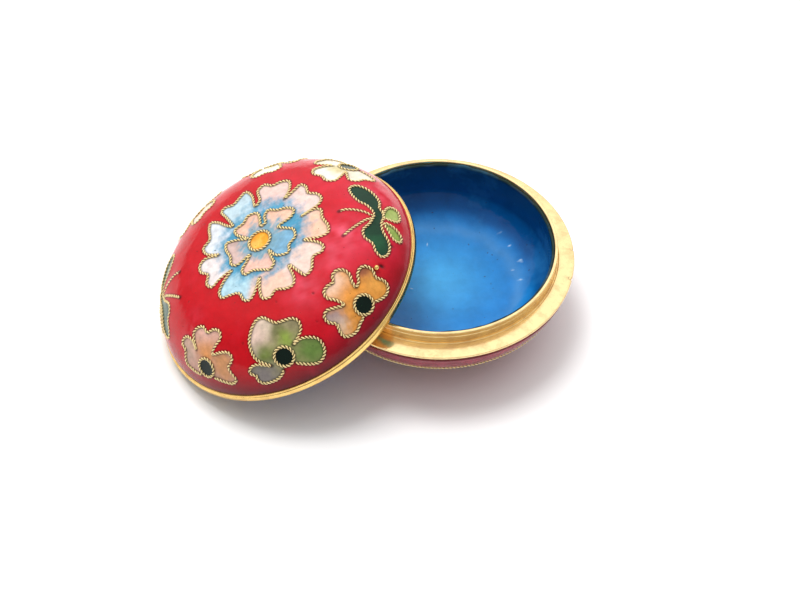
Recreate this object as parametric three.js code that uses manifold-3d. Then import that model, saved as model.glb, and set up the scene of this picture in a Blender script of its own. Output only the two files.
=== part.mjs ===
// A round enamelled pill box: a domed lid resting half on the table, half on the open bowl.
// Millimetres, +Z up, the table at z = 0, the bowl's axis upright.
import * as THREE from "three";
import { mergeVertices } from "three/addons/utils/BufferGeometryUtils.js";
import Module from "manifold-3d";

const wasm = await Module();
wasm.setup();

// ---- Bowl: rim, neck, wall and foot ----
const LEDGE_RADIUS = 24;
const LEDGE_HEIGHT = 13.4;
const LEDGE_THICKNESS = 0.9;
const LEDGE_WIDTH = 3.05;
const NECK_WALL = 0.55;
const NECK_RISE = 3;
const BOWL_INSET = 0.3;
const BOWL_STAND = 1;
const BOWL_FLATNESS = 3.6;
const BOWL_SHOULDER = 1.3;
const FOOT_RADIUS = 13.2;
const FOOT_WIDTH = 1.3;
const BELT_DEPTH = 3.6;

// ---- Lid: rim band and dome ----
const LID_OVERHANG = 0.6;
const LID_BAND_HEIGHT = 1.4;
const LID_SEAT_THICKNESS = 0.8;
const LID_BAND_WALL = 0.7;
const NECK_CLEARANCE = 0.3;
const DOME_INSET = 0.4;
const DOME_HEIGHT = 11.2;
const DOME_FLATNESS = 3.6;
const DOME_SHOULDER = 1.65;

// ---- Wall build-up, from outside in ----
const GROUND = 0.7;
const COPPER = 0.8;
const LINING = 0.5;
const SEAM = 0.1;
const LIP_REVEAL = 0.35;

// ---- How the lid leans: its far edge on the table, its seat on the neck ----
const LID_SLIP = 2.5;
const LID_DIRECTION = THREE.MathUtils.degToRad(189.6);
const REST_GAP = 0.3;

// ---- Sizes that follow from the ones above ----
const NECK_RADIUS = LEDGE_RADIUS - LEDGE_WIDTH;
const NECK_TOP = LEDGE_HEIGHT + NECK_RISE;
const LEDGE_UNDERSIDE = LEDGE_HEIGHT - LEDGE_THICKNESS;
const LID_RADIUS = LEDGE_RADIUS + LID_OVERHANG;
const LID_BORE = NECK_RADIUS + NECK_CLEARANCE;
const LID_DISTANCE = LEDGE_RADIUS + LID_SLIP;
const COPPER_AT = GROUND + SEAM;
const LINING_AT = COPPER_AT + COPPER + SEAM;
const DOME = {
  radius: LID_RADIUS - DOME_INSET,
  height: DOME_HEIGHT,
  flatness: DOME_FLATNESS,
  shoulder: DOME_SHOULDER,
};
const BOWL = {
  radius: LEDGE_RADIUS - BOWL_INSET,
  height: LEDGE_UNDERSIDE - SEAM - BOWL_STAND,
  flatness: BOWL_FLATNESS,
  shoulder: BOWL_SHOULDER,
};

// ---- Cloison wires and the cells they enclose ----
const WIRE_RADIUS = 0.3;
const CELL_GAP = 0.1;
const CELL_SINK = 0.12;
const WIRE_SIDES = 4;
const CLEAR = WIRE_RADIUS + CELL_GAP;
const BEAD_RADIUS = 0.45;
const BEAD_PLACE = { radius: 21.8, turn: 147 };
const BLOCK = { depth: 12, below: 8 };

// The ornament is drawn for a dome of this radius, and scales with the dome.
const DRAWN_FOR = 24.2;
const ORNAMENT = DOME.radius / DRAWN_FOR;

// ---- Facets ----
const TURN_STEPS = 32;
const PROFILE_STEPS = 5;
const FLOWER_DISC_STEPS = 12;
const BLOSSOM_DISC_STEPS = 10;
const BACK_STEPS = 6;
const FRONT_STEPS = 8;
const BEAD_STEPS = { round: 10, down: 6 };

// ---- Tolerances of the solvers ----
const WELD = 1e-4;
const SLOPE_STEP = 0.01;
const HALVINGS = 50;
const DROP = { low: -10, high: 4 };
const TILT = { low: 5, high: 60 };
const MITRE_LIMIT = 0.5;

// ---- The flower on the crown: petals by direction in degrees and reach ----
const FLOWER = {
  place: { radius: 1, turn: 180 },
  outer: {
    notch: 8.4,
    petals: [
      { turn: 14, reach: 11.9 },
      { turn: 60, reach: 12.2 },
      { turn: 102, reach: 12.7 },
      { turn: 137, reach: 12.7 },
      { turn: 175, reach: 12.2 },
      { turn: 209, reach: 12.4 },
      { turn: 248, reach: 12.7 },
      { turn: 287, reach: 12.2 },
      { turn: 326, reach: 11.8 },
    ],
  },
  inner: {
    notch: 3.9,
    petals: [
      { turn: 7, reach: 6.3 },
      { turn: 77, reach: 7.2 },
      { turn: 142, reach: 6.9 },
      { turn: 223, reach: 6.9 },
      { turn: 293, reach: 6.1 },
    ],
  },
  disc: 2.1,
};

// ---- Blossoms round the shoulder: a disc near the rim with three petals fanned above it ----
const BLOSSOM_DISC = 1.75;
const BLOSSOM_NOTCH = 3.3;
const BLOSSOM_END = 2.55;
const BLOSSOM_END_TURN = 34;
const BLOSSOMS = [
  { name: "blossom_1", place: { radius: 22.2, turn: 47 }, petals: fan([-80, 5.9], [6, 6.6], [76, 6]) },
  { name: "blossom_2", place: { radius: 21.8, turn: 89 }, petals: fan([-98, 6.3], [0, 6.7], [90, 7]) },
  { name: "blossom_3", place: { radius: 22.3, turn: 130 }, petals: fan([-76, 6], [3, 6.4], [77, 6]) },
  { name: "blossom_4", place: { radius: 21.8, turn: 215 }, petals: fan([-78, 6.1], [0, 6.6], [80, 6]) },
  { name: "blossom_5", place: { radius: 21.8, turn: 260 }, petals: fan([-80, 6], [4, 6.5], [78, 6.2]) },
  { name: "blossom_6", place: { radius: 21.8, turn: 305 }, petals: fan([-76, 6.2], [0, 6.6], [79, 5.9]) },
];

// ---- Butterflies between the blossoms; x points up the dome, y sideways ----
const BUTTERFLIES = [
  { name: "butterfly_1", place: { radius: 19.9, turn: 173 } },
  { name: "butterfly_2", place: { radius: 20.3, turn: 358 } },
];
const WINGS = outline([
  [1.6, 0.2], [1.5, 1.7], [0.7, 3], [0.9, 4.8], [0.1, 6.7], [-1.2, 7.5], [-2.4, 6.9],
  [-2.8, 5], [-2.2, 2.6], [-1.5, 0.9], [-1.7, -0.5], [-1.2, -1.7], [-0.9, -3], [0.2, -5],
  [1.6, -6.7], [3.1, -7.4], [4.2, -6.4], [3.6, -5], [1.9, -3.6], [1, -2], [1.5, -1],
]);
const TAIL = outline([[-3.1, 3.8], [-4.3, 4.5], [-5.2, 3.7], [-4.8, 2.5], [-3.6, 1.8], [-2.6, 2.2]]);
const TAILS = [TAIL, TAIL.map((p) => new THREE.Vector2(p.x, 0.6 - p.y)).reverse()];
const ANTENNAE = [
  outline([[2.4, -0.9], [3.8, -1.8], [5.3, -2]]),
  outline([[2.5, 0.9], [3.4, 2.2], [4.6, 3.5]]),
];

// ---- Materials ----
const FINISH = {
  gilt: { color: 0xe9b850, roughness: 0.25, metalness: 1 },
  wire: { color: 0xf0d890, roughness: 0.3, metalness: 1 },
  copper: { color: 0xb87345, roughness: 0.4, metalness: 1 },
  red: { color: 0xc8142a, roughness: 0.15, metalness: 0 },
  blue: { color: 0x1c7cc8, roughness: 0.15, metalness: 0 },
  sky: { color: 0x8cc0d8, roughness: 0.2, metalness: 0 },
  peach: { color: 0xf0c0a0, roughness: 0.2, metalness: 0 },
  orange: { color: 0xf0a030, roughness: 0.2, metalness: 0 },
  olive: { color: 0x8c9c50, roughness: 0.2, metalness: 0 },
  cream: { color: 0xf0e6d2, roughness: 0.2, metalness: 0 },
  green: { color: 0x14492f, roughness: 0.15, metalness: 0 },
  leaf: { color: 0x98b848, roughness: 0.2, metalness: 0 },
};
const BLOSSOM_FINISH = ["peach", "olive", "orange", "cream", "cream", "peach"];

// ---- A petal's two lobes: share of the way from its side to its middle, and rise to its reach ----
const LOBE_SIDE = { share: 0.24, rise: 0.7 };
const LOBE_TOP = { share: 0.56, rise: 1 };
const PETAL_DIP = { share: 0, rise: 0.66 };

// A fan of petals, each given as its direction in degrees and its reach.
function fan(...petals) {
  return petals.map(([turn, reach]) => ({ turn, reach }));
}

function outline(points) {
  return points.map(([x, y]) => new THREE.Vector2(x, y));
}

function scaled(points) {
  return points.map((p) => p.clone().multiplyScalar(ORNAMENT));
}

function polar(turn, radius) {
  const angle = THREE.MathUtils.degToRad(turn);
  return new THREE.Vector2(radius * Math.cos(angle), radius * Math.sin(angle));
}

// ---- Profiles of revolution ----

// Height of a bun-shaped surface above its widest circle.
function bunHeight(bun, radius) {
  const share = Math.min(radius / bun.radius, 1);
  return bun.height * (1 - share ** bun.flatness) ** (1 / bun.shoulder);
}

// Points down a bun's side, from its axis out to its widest circle.
function bunProfile(bun) {
  const points = [];
  for (let i = 0; i <= PROFILE_STEPS; i++) {
    const angle = ((Math.PI / 2) * i) / PROFILE_STEPS;
    const radius = bun.radius * Math.sin(angle);
    points.push(new THREE.Vector2(radius, i === PROFILE_STEPS ? 0 : bunHeight(bun, radius)));
  }
  return points;
}

function bun(shape, thickness) {
  return { ...shape, radius: shape.radius - thickness, height: shape.height - thickness };
}

// A turned solid from its profile, listed anticlockwise as (radius, height).
function turned(points) {
  const onAxis = points[0].x === 0;
  const profile = onAxis ? points : [...points, points[0]];
  return new THREE.LatheGeometry(profile, TURN_STEPS).rotateX(Math.PI / 2);
}

// A cap between two buns, standing on a flat edge.
function cap(outer, inner, centre, floor) {
  const lift = (p) => new THREE.Vector2(p.x, p.y + centre);
  const inside = bunProfile(inner).map(lift);
  const outside = bunProfile(outer).map(lift).reverse();
  const edge = [new THREE.Vector2(inner.radius, floor), new THREE.Vector2(outer.radius, floor)];
  const stands = floor < centre ? edge : [];
  return turned([...inside, ...stands, ...outside]);
}

// ---- Cuts and joins ----

function bare(geometry) {
  const copy = geometry.clone();
  copy.deleteAttribute("normal");
  copy.deleteAttribute("uv");
  return mergeVertices(copy, WELD);
}

function solid(geometry) {
  const merged = bare(geometry);
  const vertProperties = new Float32Array(merged.attributes.position.array);
  const triVerts = new Uint32Array(merged.index.array);
  return new wasm.Manifold(new wasm.Mesh({ numProp: 3, vertProperties, triVerts }));
}

function geometryOf(manifold) {
  const made = manifold.getMesh();
  const geometry = new THREE.BufferGeometry();
  geometry.setAttribute("position", new THREE.BufferAttribute(made.vertProperties, 3));
  geometry.setIndex(new THREE.BufferAttribute(made.triVerts, 1));
  const flat = geometry.toNonIndexed();
  flat.computeVertexNormals();
  return flat;
}

// ---- Places on a bun ----

// A frame on the dome: origin on its surface, x up the slope, y sideways, z out along the normal.
function frameOnDome(place) {
  const radius = place.radius * ORNAMENT;
  const out = polar(place.turn, 1);
  const farther = bunHeight(DOME, radius + SLOPE_STEP);
  const nearer = bunHeight(DOME, Math.max(radius - SLOPE_STEP, 0));
  const slope = (farther - nearer) / (2 * SLOPE_STEP);
  const normal = new THREE.Vector3(-slope * out.x, -slope * out.y, 1).normalize();
  const up = new THREE.Vector3(-out.x, -out.y, 0);
  up.addScaledVector(normal, -up.dot(normal)).normalize();
  const side = new THREE.Vector3().crossVectors(normal, up);
  const height = LID_BAND_HEIGHT + bunHeight(DOME, radius);
  const origin = new THREE.Vector3(out.x * radius, out.y * radius, height);
  return new THREE.Matrix4().makeBasis(up, side, normal).setPosition(origin);
}

function outsideDome(point) {
  const radius = Math.hypot(point.x, point.y) / DOME.radius;
  const height = Math.max(point.z - LID_BAND_HEIGHT, 0) / DOME.height;
  return radius ** DOME.flatness + height ** DOME.shoulder > 1;
}

// The point of the dome straight below or above a point of a frame's plane.
function onDome(frame, flat) {
  let { low, high } = DROP;
  const point = new THREE.Vector3();
  for (let i = 0; i < HALVINGS; i++) {
    const middle = (low + high) / 2;
    point.set(flat.x, flat.y, middle).applyMatrix4(frame);
    if (outsideDome(point)) high = middle;
    else low = middle;
  }
  return point;
}

// ---- Outlines ----

// One two-lobed petal between two side directions, as points from one notch to the next.
function petalPoints({ turn, reach }, before, after, notch) {
  const steps = [
    [before, LOBE_SIDE],
    [before, LOBE_TOP],
    [turn, PETAL_DIP],
    [after, LOBE_TOP],
    [after, LOBE_SIDE],
  ];
  return steps.map(([side, { share, rise }]) => {
    return polar(side + (turn - side) * share, notch + (reach - notch) * rise);
  });
}

function closedFlower({ petals, notch }) {
  const points = [];
  petals.forEach((petal, i) => {
    const last = petals[(i + petals.length - 1) % petals.length];
    const next = petals[(i + 1) % petals.length];
    const lastTurn = last.turn - (i === 0 ? 360 : 0);
    const nextTurn = next.turn + (i === petals.length - 1 ? 360 : 0);
    const before = (lastTurn + petal.turn) / 2;
    const after = (nextTurn + petal.turn) / 2;
    points.push(polar(before, notch), ...petalPoints(petal, before, after, notch));
  });
  return points;
}

function openBlossom(petals) {
  const first = petals[0].turn - BLOSSOM_END_TURN;
  const last = petals[petals.length - 1].turn + BLOSSOM_END_TURN;
  const points = [polar(first, BLOSSOM_END)];
  petals.forEach((petal, i) => {
    const before = i === 0 ? first : (petals[i - 1].turn + petal.turn) / 2;
    const after = i === petals.length - 1 ? last : (petals[i + 1].turn + petal.turn) / 2;
    if (i > 0) points.push(polar(before, BLOSSOM_NOTCH));
    points.push(...petalPoints(petal, before, after, BLOSSOM_NOTCH));
  });
  points.push(polar(last, BLOSSOM_END));
  return points;
}

function circle(radius, steps) {
  return Array.from({ length: steps }, (_, i) => polar((360 * i) / steps, radius));
}

// Moves each side of an anticlockwise outline outwards, and mitres its corners.
function grown(points, distance, closed = true) {
  const count = points.length;
  const outwards = (from, to) => new THREE.Vector2(to.y - from.y, from.x - to.x).normalize();
  return points.map((point, i) => {
    const last = closed || i > 0 ? points[(i + count - 1) % count] : null;
    const next = closed || i < count - 1 ? points[(i + 1) % count] : null;
    const before = outwards(last ?? point, last ? point : next);
    const after = outwards(next ? point : last, next ?? point);
    const middle = before.clone().add(after).normalize();
    return middle.multiplyScalar(distance / Math.max(middle.dot(before), MITRE_LIMIT)).add(point);
  });
}

// An arc round a disc, from one direction to another.
function arc(radius, from, to, steps) {
  return Array.from({ length: steps + 1 }, (_, i) => polar(from + ((to - from) * i) / steps, radius));
}

// ---- Wires and cells ----

// A round wire along points on the dome; its section is turned about the direction of travel.
function wire(frame, outlinePoints, closed) {
  const path = outlinePoints.map((p) => onDome(frame, p));
  const normal = new THREE.Vector3().setFromMatrixColumn(frame, 2);
  const count = path.length;
  const positions = [];
  path.forEach((point, i) => {
    const last = closed ? path[(i + count - 1) % count] : path[Math.max(i - 1, 0)];
    const next = closed ? path[(i + 1) % count] : path[Math.min(i + 1, count - 1)];
    const along = next.clone().sub(last).normalize();
    const across = new THREE.Vector3().crossVectors(along, normal).normalize();
    const out = new THREE.Vector3().crossVectors(across, along);
    for (let s = 0; s < WIRE_SIDES; s++) {
      const angle = (2 * Math.PI * (s + 0.5)) / WIRE_SIDES;
      const place = point.clone();
      place.addScaledVector(across, WIRE_RADIUS * Math.sin(angle));
      place.addScaledVector(out, WIRE_RADIUS * Math.cos(angle));
      positions.push(place.x, place.y, place.z);
    }
  });
  const geometry = new THREE.BufferGeometry();
  geometry.setAttribute("position", new THREE.Float32BufferAttribute(positions, 3));
  geometry.setIndex(wireFaces(count, closed));
  const flat = geometry.toNonIndexed();
  flat.computeVertexNormals();
  return flat;
}

function wireFaces(count, closed) {
  const faces = [];
  const spans = closed ? count : count - 1;
  for (let i = 0; i < spans; i++) {
    const here = i * WIRE_SIDES;
    const there = ((i + 1) % count) * WIRE_SIDES;
    for (let s = 0; s < WIRE_SIDES; s++) {
      const t = (s + 1) % WIRE_SIDES;
      faces.push(here + s, there + t, there + s, here + s, here + t, there + t);
    }
  }
  if (closed) return faces;
  const end = (count - 1) * WIRE_SIDES;
  for (let s = 1; s < WIRE_SIDES - 1; s++) {
    faces.push(0, s + 1, s);
    faces.push(end, end + s, end + s + 1);
  }
  return faces;
}

// A straight-sided block through the enamel, over an outline in a frame's plane.
function block(frame, points) {
  const shape = new THREE.Shape(points);
  const geometry = new THREE.ExtrudeGeometry(shape, { depth: BLOCK.depth, bevelEnabled: false });
  geometry.translate(0, 0, -BLOCK.below);
  geometry.applyMatrix4(frame);
  return solid(geometry);
}

// ---- The two halves, each a group of named pieces ----

const lid = new THREE.Group();
const bowl = new THREE.Group();
const pillBox = new THREE.Group();
pillBox.add(bowl, lid);

function add(group, name, geometry, finish) {
  const mesh = new THREE.Mesh(geometry, new THREE.MeshStandardMaterial(FINISH[finish]));
  mesh.name = name;
  group.add(mesh);
}

// ---- Lid ornament: each cell is sunk in a pocket of the ground enamel, inside its wire ----

let lidGround = solid(cap(DOME, bun(DOME, GROUND), LID_BAND_HEIGHT, LID_BAND_HEIGHT + SEAM));
const cellLayer = solid(
  cap(bun(DOME, CELL_SINK), bun(DOME, GROUND - SEAM), LID_BAND_HEIGHT, LID_BAND_HEIGHT),
);

function pocket(frame, points) {
  lidGround = lidGround.subtract(block(frame, points));
}

function cell(name, frame, points, finish) {
  add(lid, name, geometryOf(cellLayer.intersect(block(frame, points))), finish);
}

function addFlower() {
  const frame = frameOnDome(FLOWER.place);
  const outer = scaled(closedFlower(FLOWER.outer));
  const inner = scaled(closedFlower(FLOWER.inner));
  const disc = scaled(circle(FLOWER.disc, FLOWER_DISC_STEPS));
  pocket(frame, grown(outer, CLEAR));
  add(lid, "flower_outer_wire", wire(frame, outer, true), "wire");
  add(lid, "flower_inner_wire", wire(frame, inner, true), "wire");
  add(lid, "flower_disc_wire", wire(frame, disc, true), "wire");
  const outerCell = cellLayer
    .intersect(block(frame, grown(outer, -CLEAR)))
    .subtract(block(frame, grown(inner, CLEAR)));
  const innerCell = cellLayer
    .intersect(block(frame, grown(inner, -CLEAR)))
    .subtract(block(frame, grown(disc, CLEAR)));
  add(lid, "flower_outer_enamel", geometryOf(outerCell), "sky");
  add(lid, "flower_inner_enamel", geometryOf(innerCell), "peach");
  cell("flower_disc_enamel", frame, grown(disc, -CLEAR), "orange");
}

function addBlossom({ name, place, petals }, finish) {
  const frame = frameOnDome(place);
  const petalLine = scaled(openBlossom(petals));
  const disc = scaled(circle(BLOSSOM_DISC, BLOSSOM_DISC_STEPS));
  const clearDisc = BLOSSOM_DISC * ORNAMENT + CLEAR;
  const first = petals[0].turn - BLOSSOM_END_TURN;
  const last = petals[petals.length - 1].turn + BLOSSOM_END_TURN;
  const back = arc(clearDisc, last, first + 360, BACK_STEPS);
  const front = arc(clearDisc, last, first, FRONT_STEPS);
  const fanned = grown(petalLine, -CLEAR, false).slice(1, -1);
  pocket(frame, [...grown(petalLine, CLEAR, false), ...back]);
  add(lid, name + "_petal_wire", wire(frame, petalLine, false), "wire");
  add(lid, name + "_disc_wire", wire(frame, disc, true), "wire");
  cell(name + "_petal_enamel", frame, [...fanned, ...front], finish);
  cell(name + "_disc_enamel", frame, grown(disc, -CLEAR), "green");
}

function addButterfly({ name, place }) {
  const frame = frameOnDome(place);
  const wings = scaled(WINGS);
  pocket(frame, grown(wings, CLEAR));
  add(lid, name + "_wing_wire", wire(frame, wings, true), "wire");
  cell(name + "_wing_enamel", frame, grown(wings, -CLEAR), "green");
  TAILS.map(scaled).forEach((tail, i) => {
    pocket(frame, grown(tail, CLEAR));
    add(lid, name + "_tail_wire_" + (i + 1), wire(frame, tail, true), "wire");
    cell(name + "_tail_enamel_" + (i + 1), frame, grown(tail, -CLEAR), "leaf");
  });
  ANTENNAE.map(scaled).forEach((antenna, i) => {
    const groove = [...grown(antenna, CLEAR, false), ...grown(antenna, -CLEAR, false).reverse()];
    pocket(frame, groove);
    add(lid, name + "_antenna_" + (i + 1), wire(frame, antenna, false), "wire");
  });
}

function addBead() {
  const bead = new THREE.SphereGeometry(BEAD_RADIUS, BEAD_STEPS.round, BEAD_STEPS.down);
  const frame = frameOnDome(BEAD_PLACE);
  bead.translate(0, 0, BEAD_RADIUS + SEAM);
  bead.applyMatrix4(frame);
  add(lid, "gilt_bead", bead, "gilt");
}

// ---- Lid body ----

function addLidBody() {
  const copperSkin = bun(DOME, COPPER_AT);
  const liningSkin = bun(DOME, LINING_AT);
  const seat = LID_SEAT_THICKNESS;
  const bandInner = LID_RADIUS - LID_BAND_WALL;
  const band = outline([
    [LID_BORE, 0],
    [LID_RADIUS, 0],
    [LID_RADIUS, LID_BAND_HEIGHT],
    [bandInner, LID_BAND_HEIGHT],
    [bandInner, seat],
    [LID_BORE, seat],
  ]);
  add(lid, "lid_rim_band", turned(band), "gilt");
  const copper = cap(copperSkin, bun(copperSkin, COPPER), LID_BAND_HEIGHT, seat + SEAM);
  add(lid, "lid_copper_dome", copper, "copper");
  const lining = cap(liningSkin, bun(liningSkin, LINING), LID_BAND_HEIGHT, seat + SEAM);
  add(lid, "lid_lining_enamel", lining, "blue");
  add(lid, "lid_ground_enamel", geometryOf(lidGround), "red");
}

// ---- Bowl body: the bun shape turned over, hanging from the ledge ----

// A bun's profile hanging down from the ledge, listed from its lowest part up.
function hanging(shape) {
  return bunProfile(shape).map((p) => new THREE.Vector2(p.x, LEDGE_UNDERSIDE - SEAM - p.y));
}

function shellBelow(outerShape, innerShape) {
  return turned([...hanging(outerShape), ...hanging(innerShape).reverse()]);
}

function addRim() {
  const bore = NECK_RADIUS - NECK_WALL;
  const profile = outline([
    [bore, LEDGE_UNDERSIDE],
    [LEDGE_RADIUS, LEDGE_UNDERSIDE],
    [LEDGE_RADIUS, LEDGE_HEIGHT],
    [NECK_RADIUS, LEDGE_HEIGHT],
    [NECK_RADIUS, NECK_TOP],
    [bore, NECK_TOP],
  ]);
  add(bowl, "bowl_rim_and_neck", turned(profile), "gilt");
}

function addBowlCopper() {
  const skin = bun(BOWL, COPPER_AT);
  add(bowl, "bowl_copper_shell", shellBelow(skin, bun(skin, COPPER)), "copper");
}

// A hoop round the bowl at the belt's height.
function hoop(thickness) {
  const hoopGeometry = new THREE.TorusGeometry(beltRadius(), thickness, WIRE_SIDES, TURN_STEPS);
  return hoopGeometry.translate(0, 0, LEDGE_UNDERSIDE - SEAM - BELT_DEPTH);
}

function plug(radius) {
  const profile = [[0, 0], [radius, 0], [radius, LEDGE_HEIGHT], [0, LEDGE_HEIGHT]];
  return solid(turned(outline(profile)));
}

// The outer enamel: one skin, parted by the foot ring into a wall and an underside.
function addBowlGround() {
  const skin = solid(shellBelow(BOWL, bun(BOWL, GROUND)));
  const wall = skin.subtract(plug(FOOT_RADIUS + SEAM)).subtract(solid(hoop(CLEAR)));
  const underside = skin.intersect(plug(FOOT_RADIUS - FOOT_WIDTH - SEAM));
  add(bowl, "bowl_ground_enamel", geometryOf(wall), "red");
  add(bowl, "bowl_belt_wire", hoop(WIRE_RADIUS), "wire");
  add(bowl, "bowl_underside_enamel", geometryOf(underside), "blue");
}

// The radius of the bowl's outside at the belt wire's height.
function beltRadius() {
  const share = (BELT_DEPTH / BOWL.height) ** BOWL.shoulder;
  return BOWL.radius * (1 - share) ** (1 / BOWL.flatness);
}

// The lining hangs from the neck as a straight sleeve, and turns into the bowl's floor.
function addBowlLining() {
  const skin = bun(BOWL, LINING_AT);
  const floor = bun(skin, LINING);
  const neckOuter = NECK_RADIUS - NECK_WALL - SEAM;
  const neckInner = neckOuter - LINING;
  const under = LEDGE_UNDERSIDE - SEAM;
  const top = NECK_TOP - LIP_REVEAL;
  const sleeve = outline([
    [neckOuter, under],
    [neckOuter, top],
    [neckInner, top],
    [neckInner, under - bunHeight(floor, neckInner)],
  ]);
  const inside = hanging(floor).filter((point) => point.x < neckInner).reverse();
  add(bowl, "bowl_lining_enamel", turned([...hanging(skin), ...sleeve, ...inside]), "blue");
}

function addFoot() {
  const inner = FOOT_RADIUS - FOOT_WIDTH;
  const skin = bun(BOWL, GROUND);
  const seat = (radius) => LEDGE_UNDERSIDE - SEAM - bunHeight(skin, radius) - SEAM;
  const foot = outline([
    [inner, 0],
    [FOOT_RADIUS, 0],
    [FOOT_RADIUS, seat(FOOT_RADIUS)],
    [inner, seat(inner)],
  ]);
  add(bowl, "bowl_foot_ring", turned(foot), "gilt");
}

// ---- The lid's lean: the tilt at which its seat just clears the neck's top edge ----

// How far out from the bowl's axis the neck passes under the lid's bore, along the lean.
function crossing(tilt) {
  const stretch = 1 / Math.cos(tilt) ** 2;
  const a = stretch - 1;
  const b = -2 * LID_DISTANCE * stretch;
  const c = stretch * LID_DISTANCE ** 2 + NECK_RADIUS ** 2 - LID_BORE ** 2;
  return (-b - Math.sqrt(b * b - 4 * a * c)) / (2 * a);
}

function leanTilt() {
  let low = THREE.MathUtils.degToRad(TILT.low);
  let high = THREE.MathUtils.degToRad(TILT.high);
  for (let i = 0; i < HALVINGS; i++) {
    const tilt = (low + high) / 2;
    const height = LID_RADIUS * Math.sin(tilt) + (LID_DISTANCE - crossing(tilt)) * Math.tan(tilt);
    if (height > NECK_TOP + REST_GAP) high = tilt;
    else low = tilt;
  }
  return low;
}

function leanLid() {
  const tilt = leanTilt();
  const spin = new THREE.Matrix4().makeRotationZ(LID_DIRECTION);
  const lean = new THREE.Matrix4().makeRotationY(tilt);
  const place = new THREE.Matrix4().makeTranslation(
    LID_DISTANCE * Math.cos(LID_DIRECTION),
    LID_DISTANCE * Math.sin(LID_DIRECTION),
    LID_RADIUS * Math.sin(tilt),
  );
  lid.applyMatrix4(place.multiply(spin).multiply(lean));
}

addFlower();
BLOSSOMS.forEach((blossom, i) => addBlossom(blossom, BLOSSOM_FINISH[i]));
BUTTERFLIES.forEach(addButterfly);
addBead();
addLidBody();
addRim();
addBowlCopper();
addBowlGround();
addBowlLining();
addFoot();
leanLid();

// The origin is the middle of the resting pair, on the table.
const extent = new THREE.Box3().setFromObject(pillBox, true);
const middle = extent.getCenter(new THREE.Vector3());
pillBox.position.set(-middle.x, -middle.y, 0);

export default pillBox;
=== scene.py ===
import math

import bpy
import numpy as np
from mathutils import Matrix, Vector, kdtree


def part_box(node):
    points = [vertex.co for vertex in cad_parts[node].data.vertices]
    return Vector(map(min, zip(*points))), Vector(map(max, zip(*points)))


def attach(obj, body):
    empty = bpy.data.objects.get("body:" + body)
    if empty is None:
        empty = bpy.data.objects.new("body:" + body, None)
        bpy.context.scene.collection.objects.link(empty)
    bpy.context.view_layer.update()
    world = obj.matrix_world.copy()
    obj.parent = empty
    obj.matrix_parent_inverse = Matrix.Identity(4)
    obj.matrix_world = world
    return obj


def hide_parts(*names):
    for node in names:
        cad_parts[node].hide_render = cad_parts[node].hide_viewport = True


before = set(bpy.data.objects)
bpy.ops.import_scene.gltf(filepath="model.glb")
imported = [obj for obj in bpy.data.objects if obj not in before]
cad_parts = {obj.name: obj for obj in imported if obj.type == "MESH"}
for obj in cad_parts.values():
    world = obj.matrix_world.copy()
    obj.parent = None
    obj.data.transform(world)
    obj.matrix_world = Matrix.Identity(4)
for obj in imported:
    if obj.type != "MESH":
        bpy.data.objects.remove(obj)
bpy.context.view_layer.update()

MM = 0.001
TAU = 2 * math.pi

# ---- Sizes in millimetres, as in the CAD ----
LEDGE_RADIUS = 24
LEDGE_HEIGHT = 13.4
LEDGE_THICKNESS = 0.9
NECK_RADIUS = 20.95
NECK_WALL = 0.55
NECK_TOP = 16.4
LEDGE_UNDERSIDE = LEDGE_HEIGHT - LEDGE_THICKNESS
LID_RADIUS = 24.6
LID_BORE = 21.25
LID_BAND = 1.4
LID_SEAT = 0.8
FOOT_OUTER = 13.2
FOOT_INNER = 11.9
GROUND = 0.7
COPPER = 0.8
LINING = 0.5
SEAM = 0.1
COPPER_AT = 0.8
LINING_AT = 1.7
BELT_DEPTH = 3.6
DOME = {"radius": 24.2, "height": 11.2, "flatness": 3.6, "shoulder": 1.65}
BOWL = {"radius": 23.7, "height": 11.4, "flatness": 3.6, "shoulder": 1.3}

# ---- Rope: two strands twisted together ----
STRAND = 0.15
STRAND_OFFSET = 0.155
TWIST = 1.3
ROPE_STEP = 0.11
ROPE_SIDES = 7
ROPE_LIFT = -0.09
# The rope's dark groove and bright strand are painted shade and painted light.
GROOVE_FROM, GROOVE_OVER = 0.14, 0.13  # from dark groove to bright strand, off the middle

# ---- Fineness ----
DOME_TURNS = 600
DOME_RINGS = 150
LATHE_TURNS = 240
FINE_TURNS = 360
RIM_TURNS = 720
CURVE_SAMPLES = 2000
CURVE_SPREAD = 0.9
CORNER_SHARE = 0.45


def rgb(r, g, b):
    """Linear colour from 0-255 display values."""
    c = np.array([r, g, b], float) / 255
    return np.where(c <= 0.04045, c / 12.92, ((c + 0.055) / 1.055) ** 2.4)


# ---- Where the bowl and the lid stand ----


def bowl_place():
    lo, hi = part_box("bowl_rim_and_neck")
    return Matrix.Translation(((lo.x + hi.x) / 2, (lo.y + hi.y) / 2, 0)) @ Matrix.Scale(MM, 4)


def lid_place():
    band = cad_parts["lid_rim_band"].data
    points = np.unique(np.round([v.co for v in band.vertices], 7), axis=0)
    centre = points.mean(0)
    normal = np.linalg.svd(points - centre)[2][2]
    if normal[2] < 0:
        normal = -normal
    downhill = np.array([0, 0, -1]) + normal * normal[2]
    downhill /= np.linalg.norm(downhill)
    side = np.cross(normal, downhill)
    heights = (points - centre) @ normal
    low = points[heights < heights.min() + 0.02 * MM]
    origin = (low.min(0) + low.max(0)) / 2
    in_plane = centre - origin
    origin = origin + in_plane - normal * (in_plane @ normal)
    matrix = Matrix.Identity(4)
    for column, vector in enumerate((downhill, side, normal)):
        for row in range(3):
            matrix[row][column] = vector[row] * MM
    for row in range(3):
        matrix[row][3] = origin[row]
    return matrix


PLACES = {"bowl": bowl_place(), "lid": lid_place()}


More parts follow.
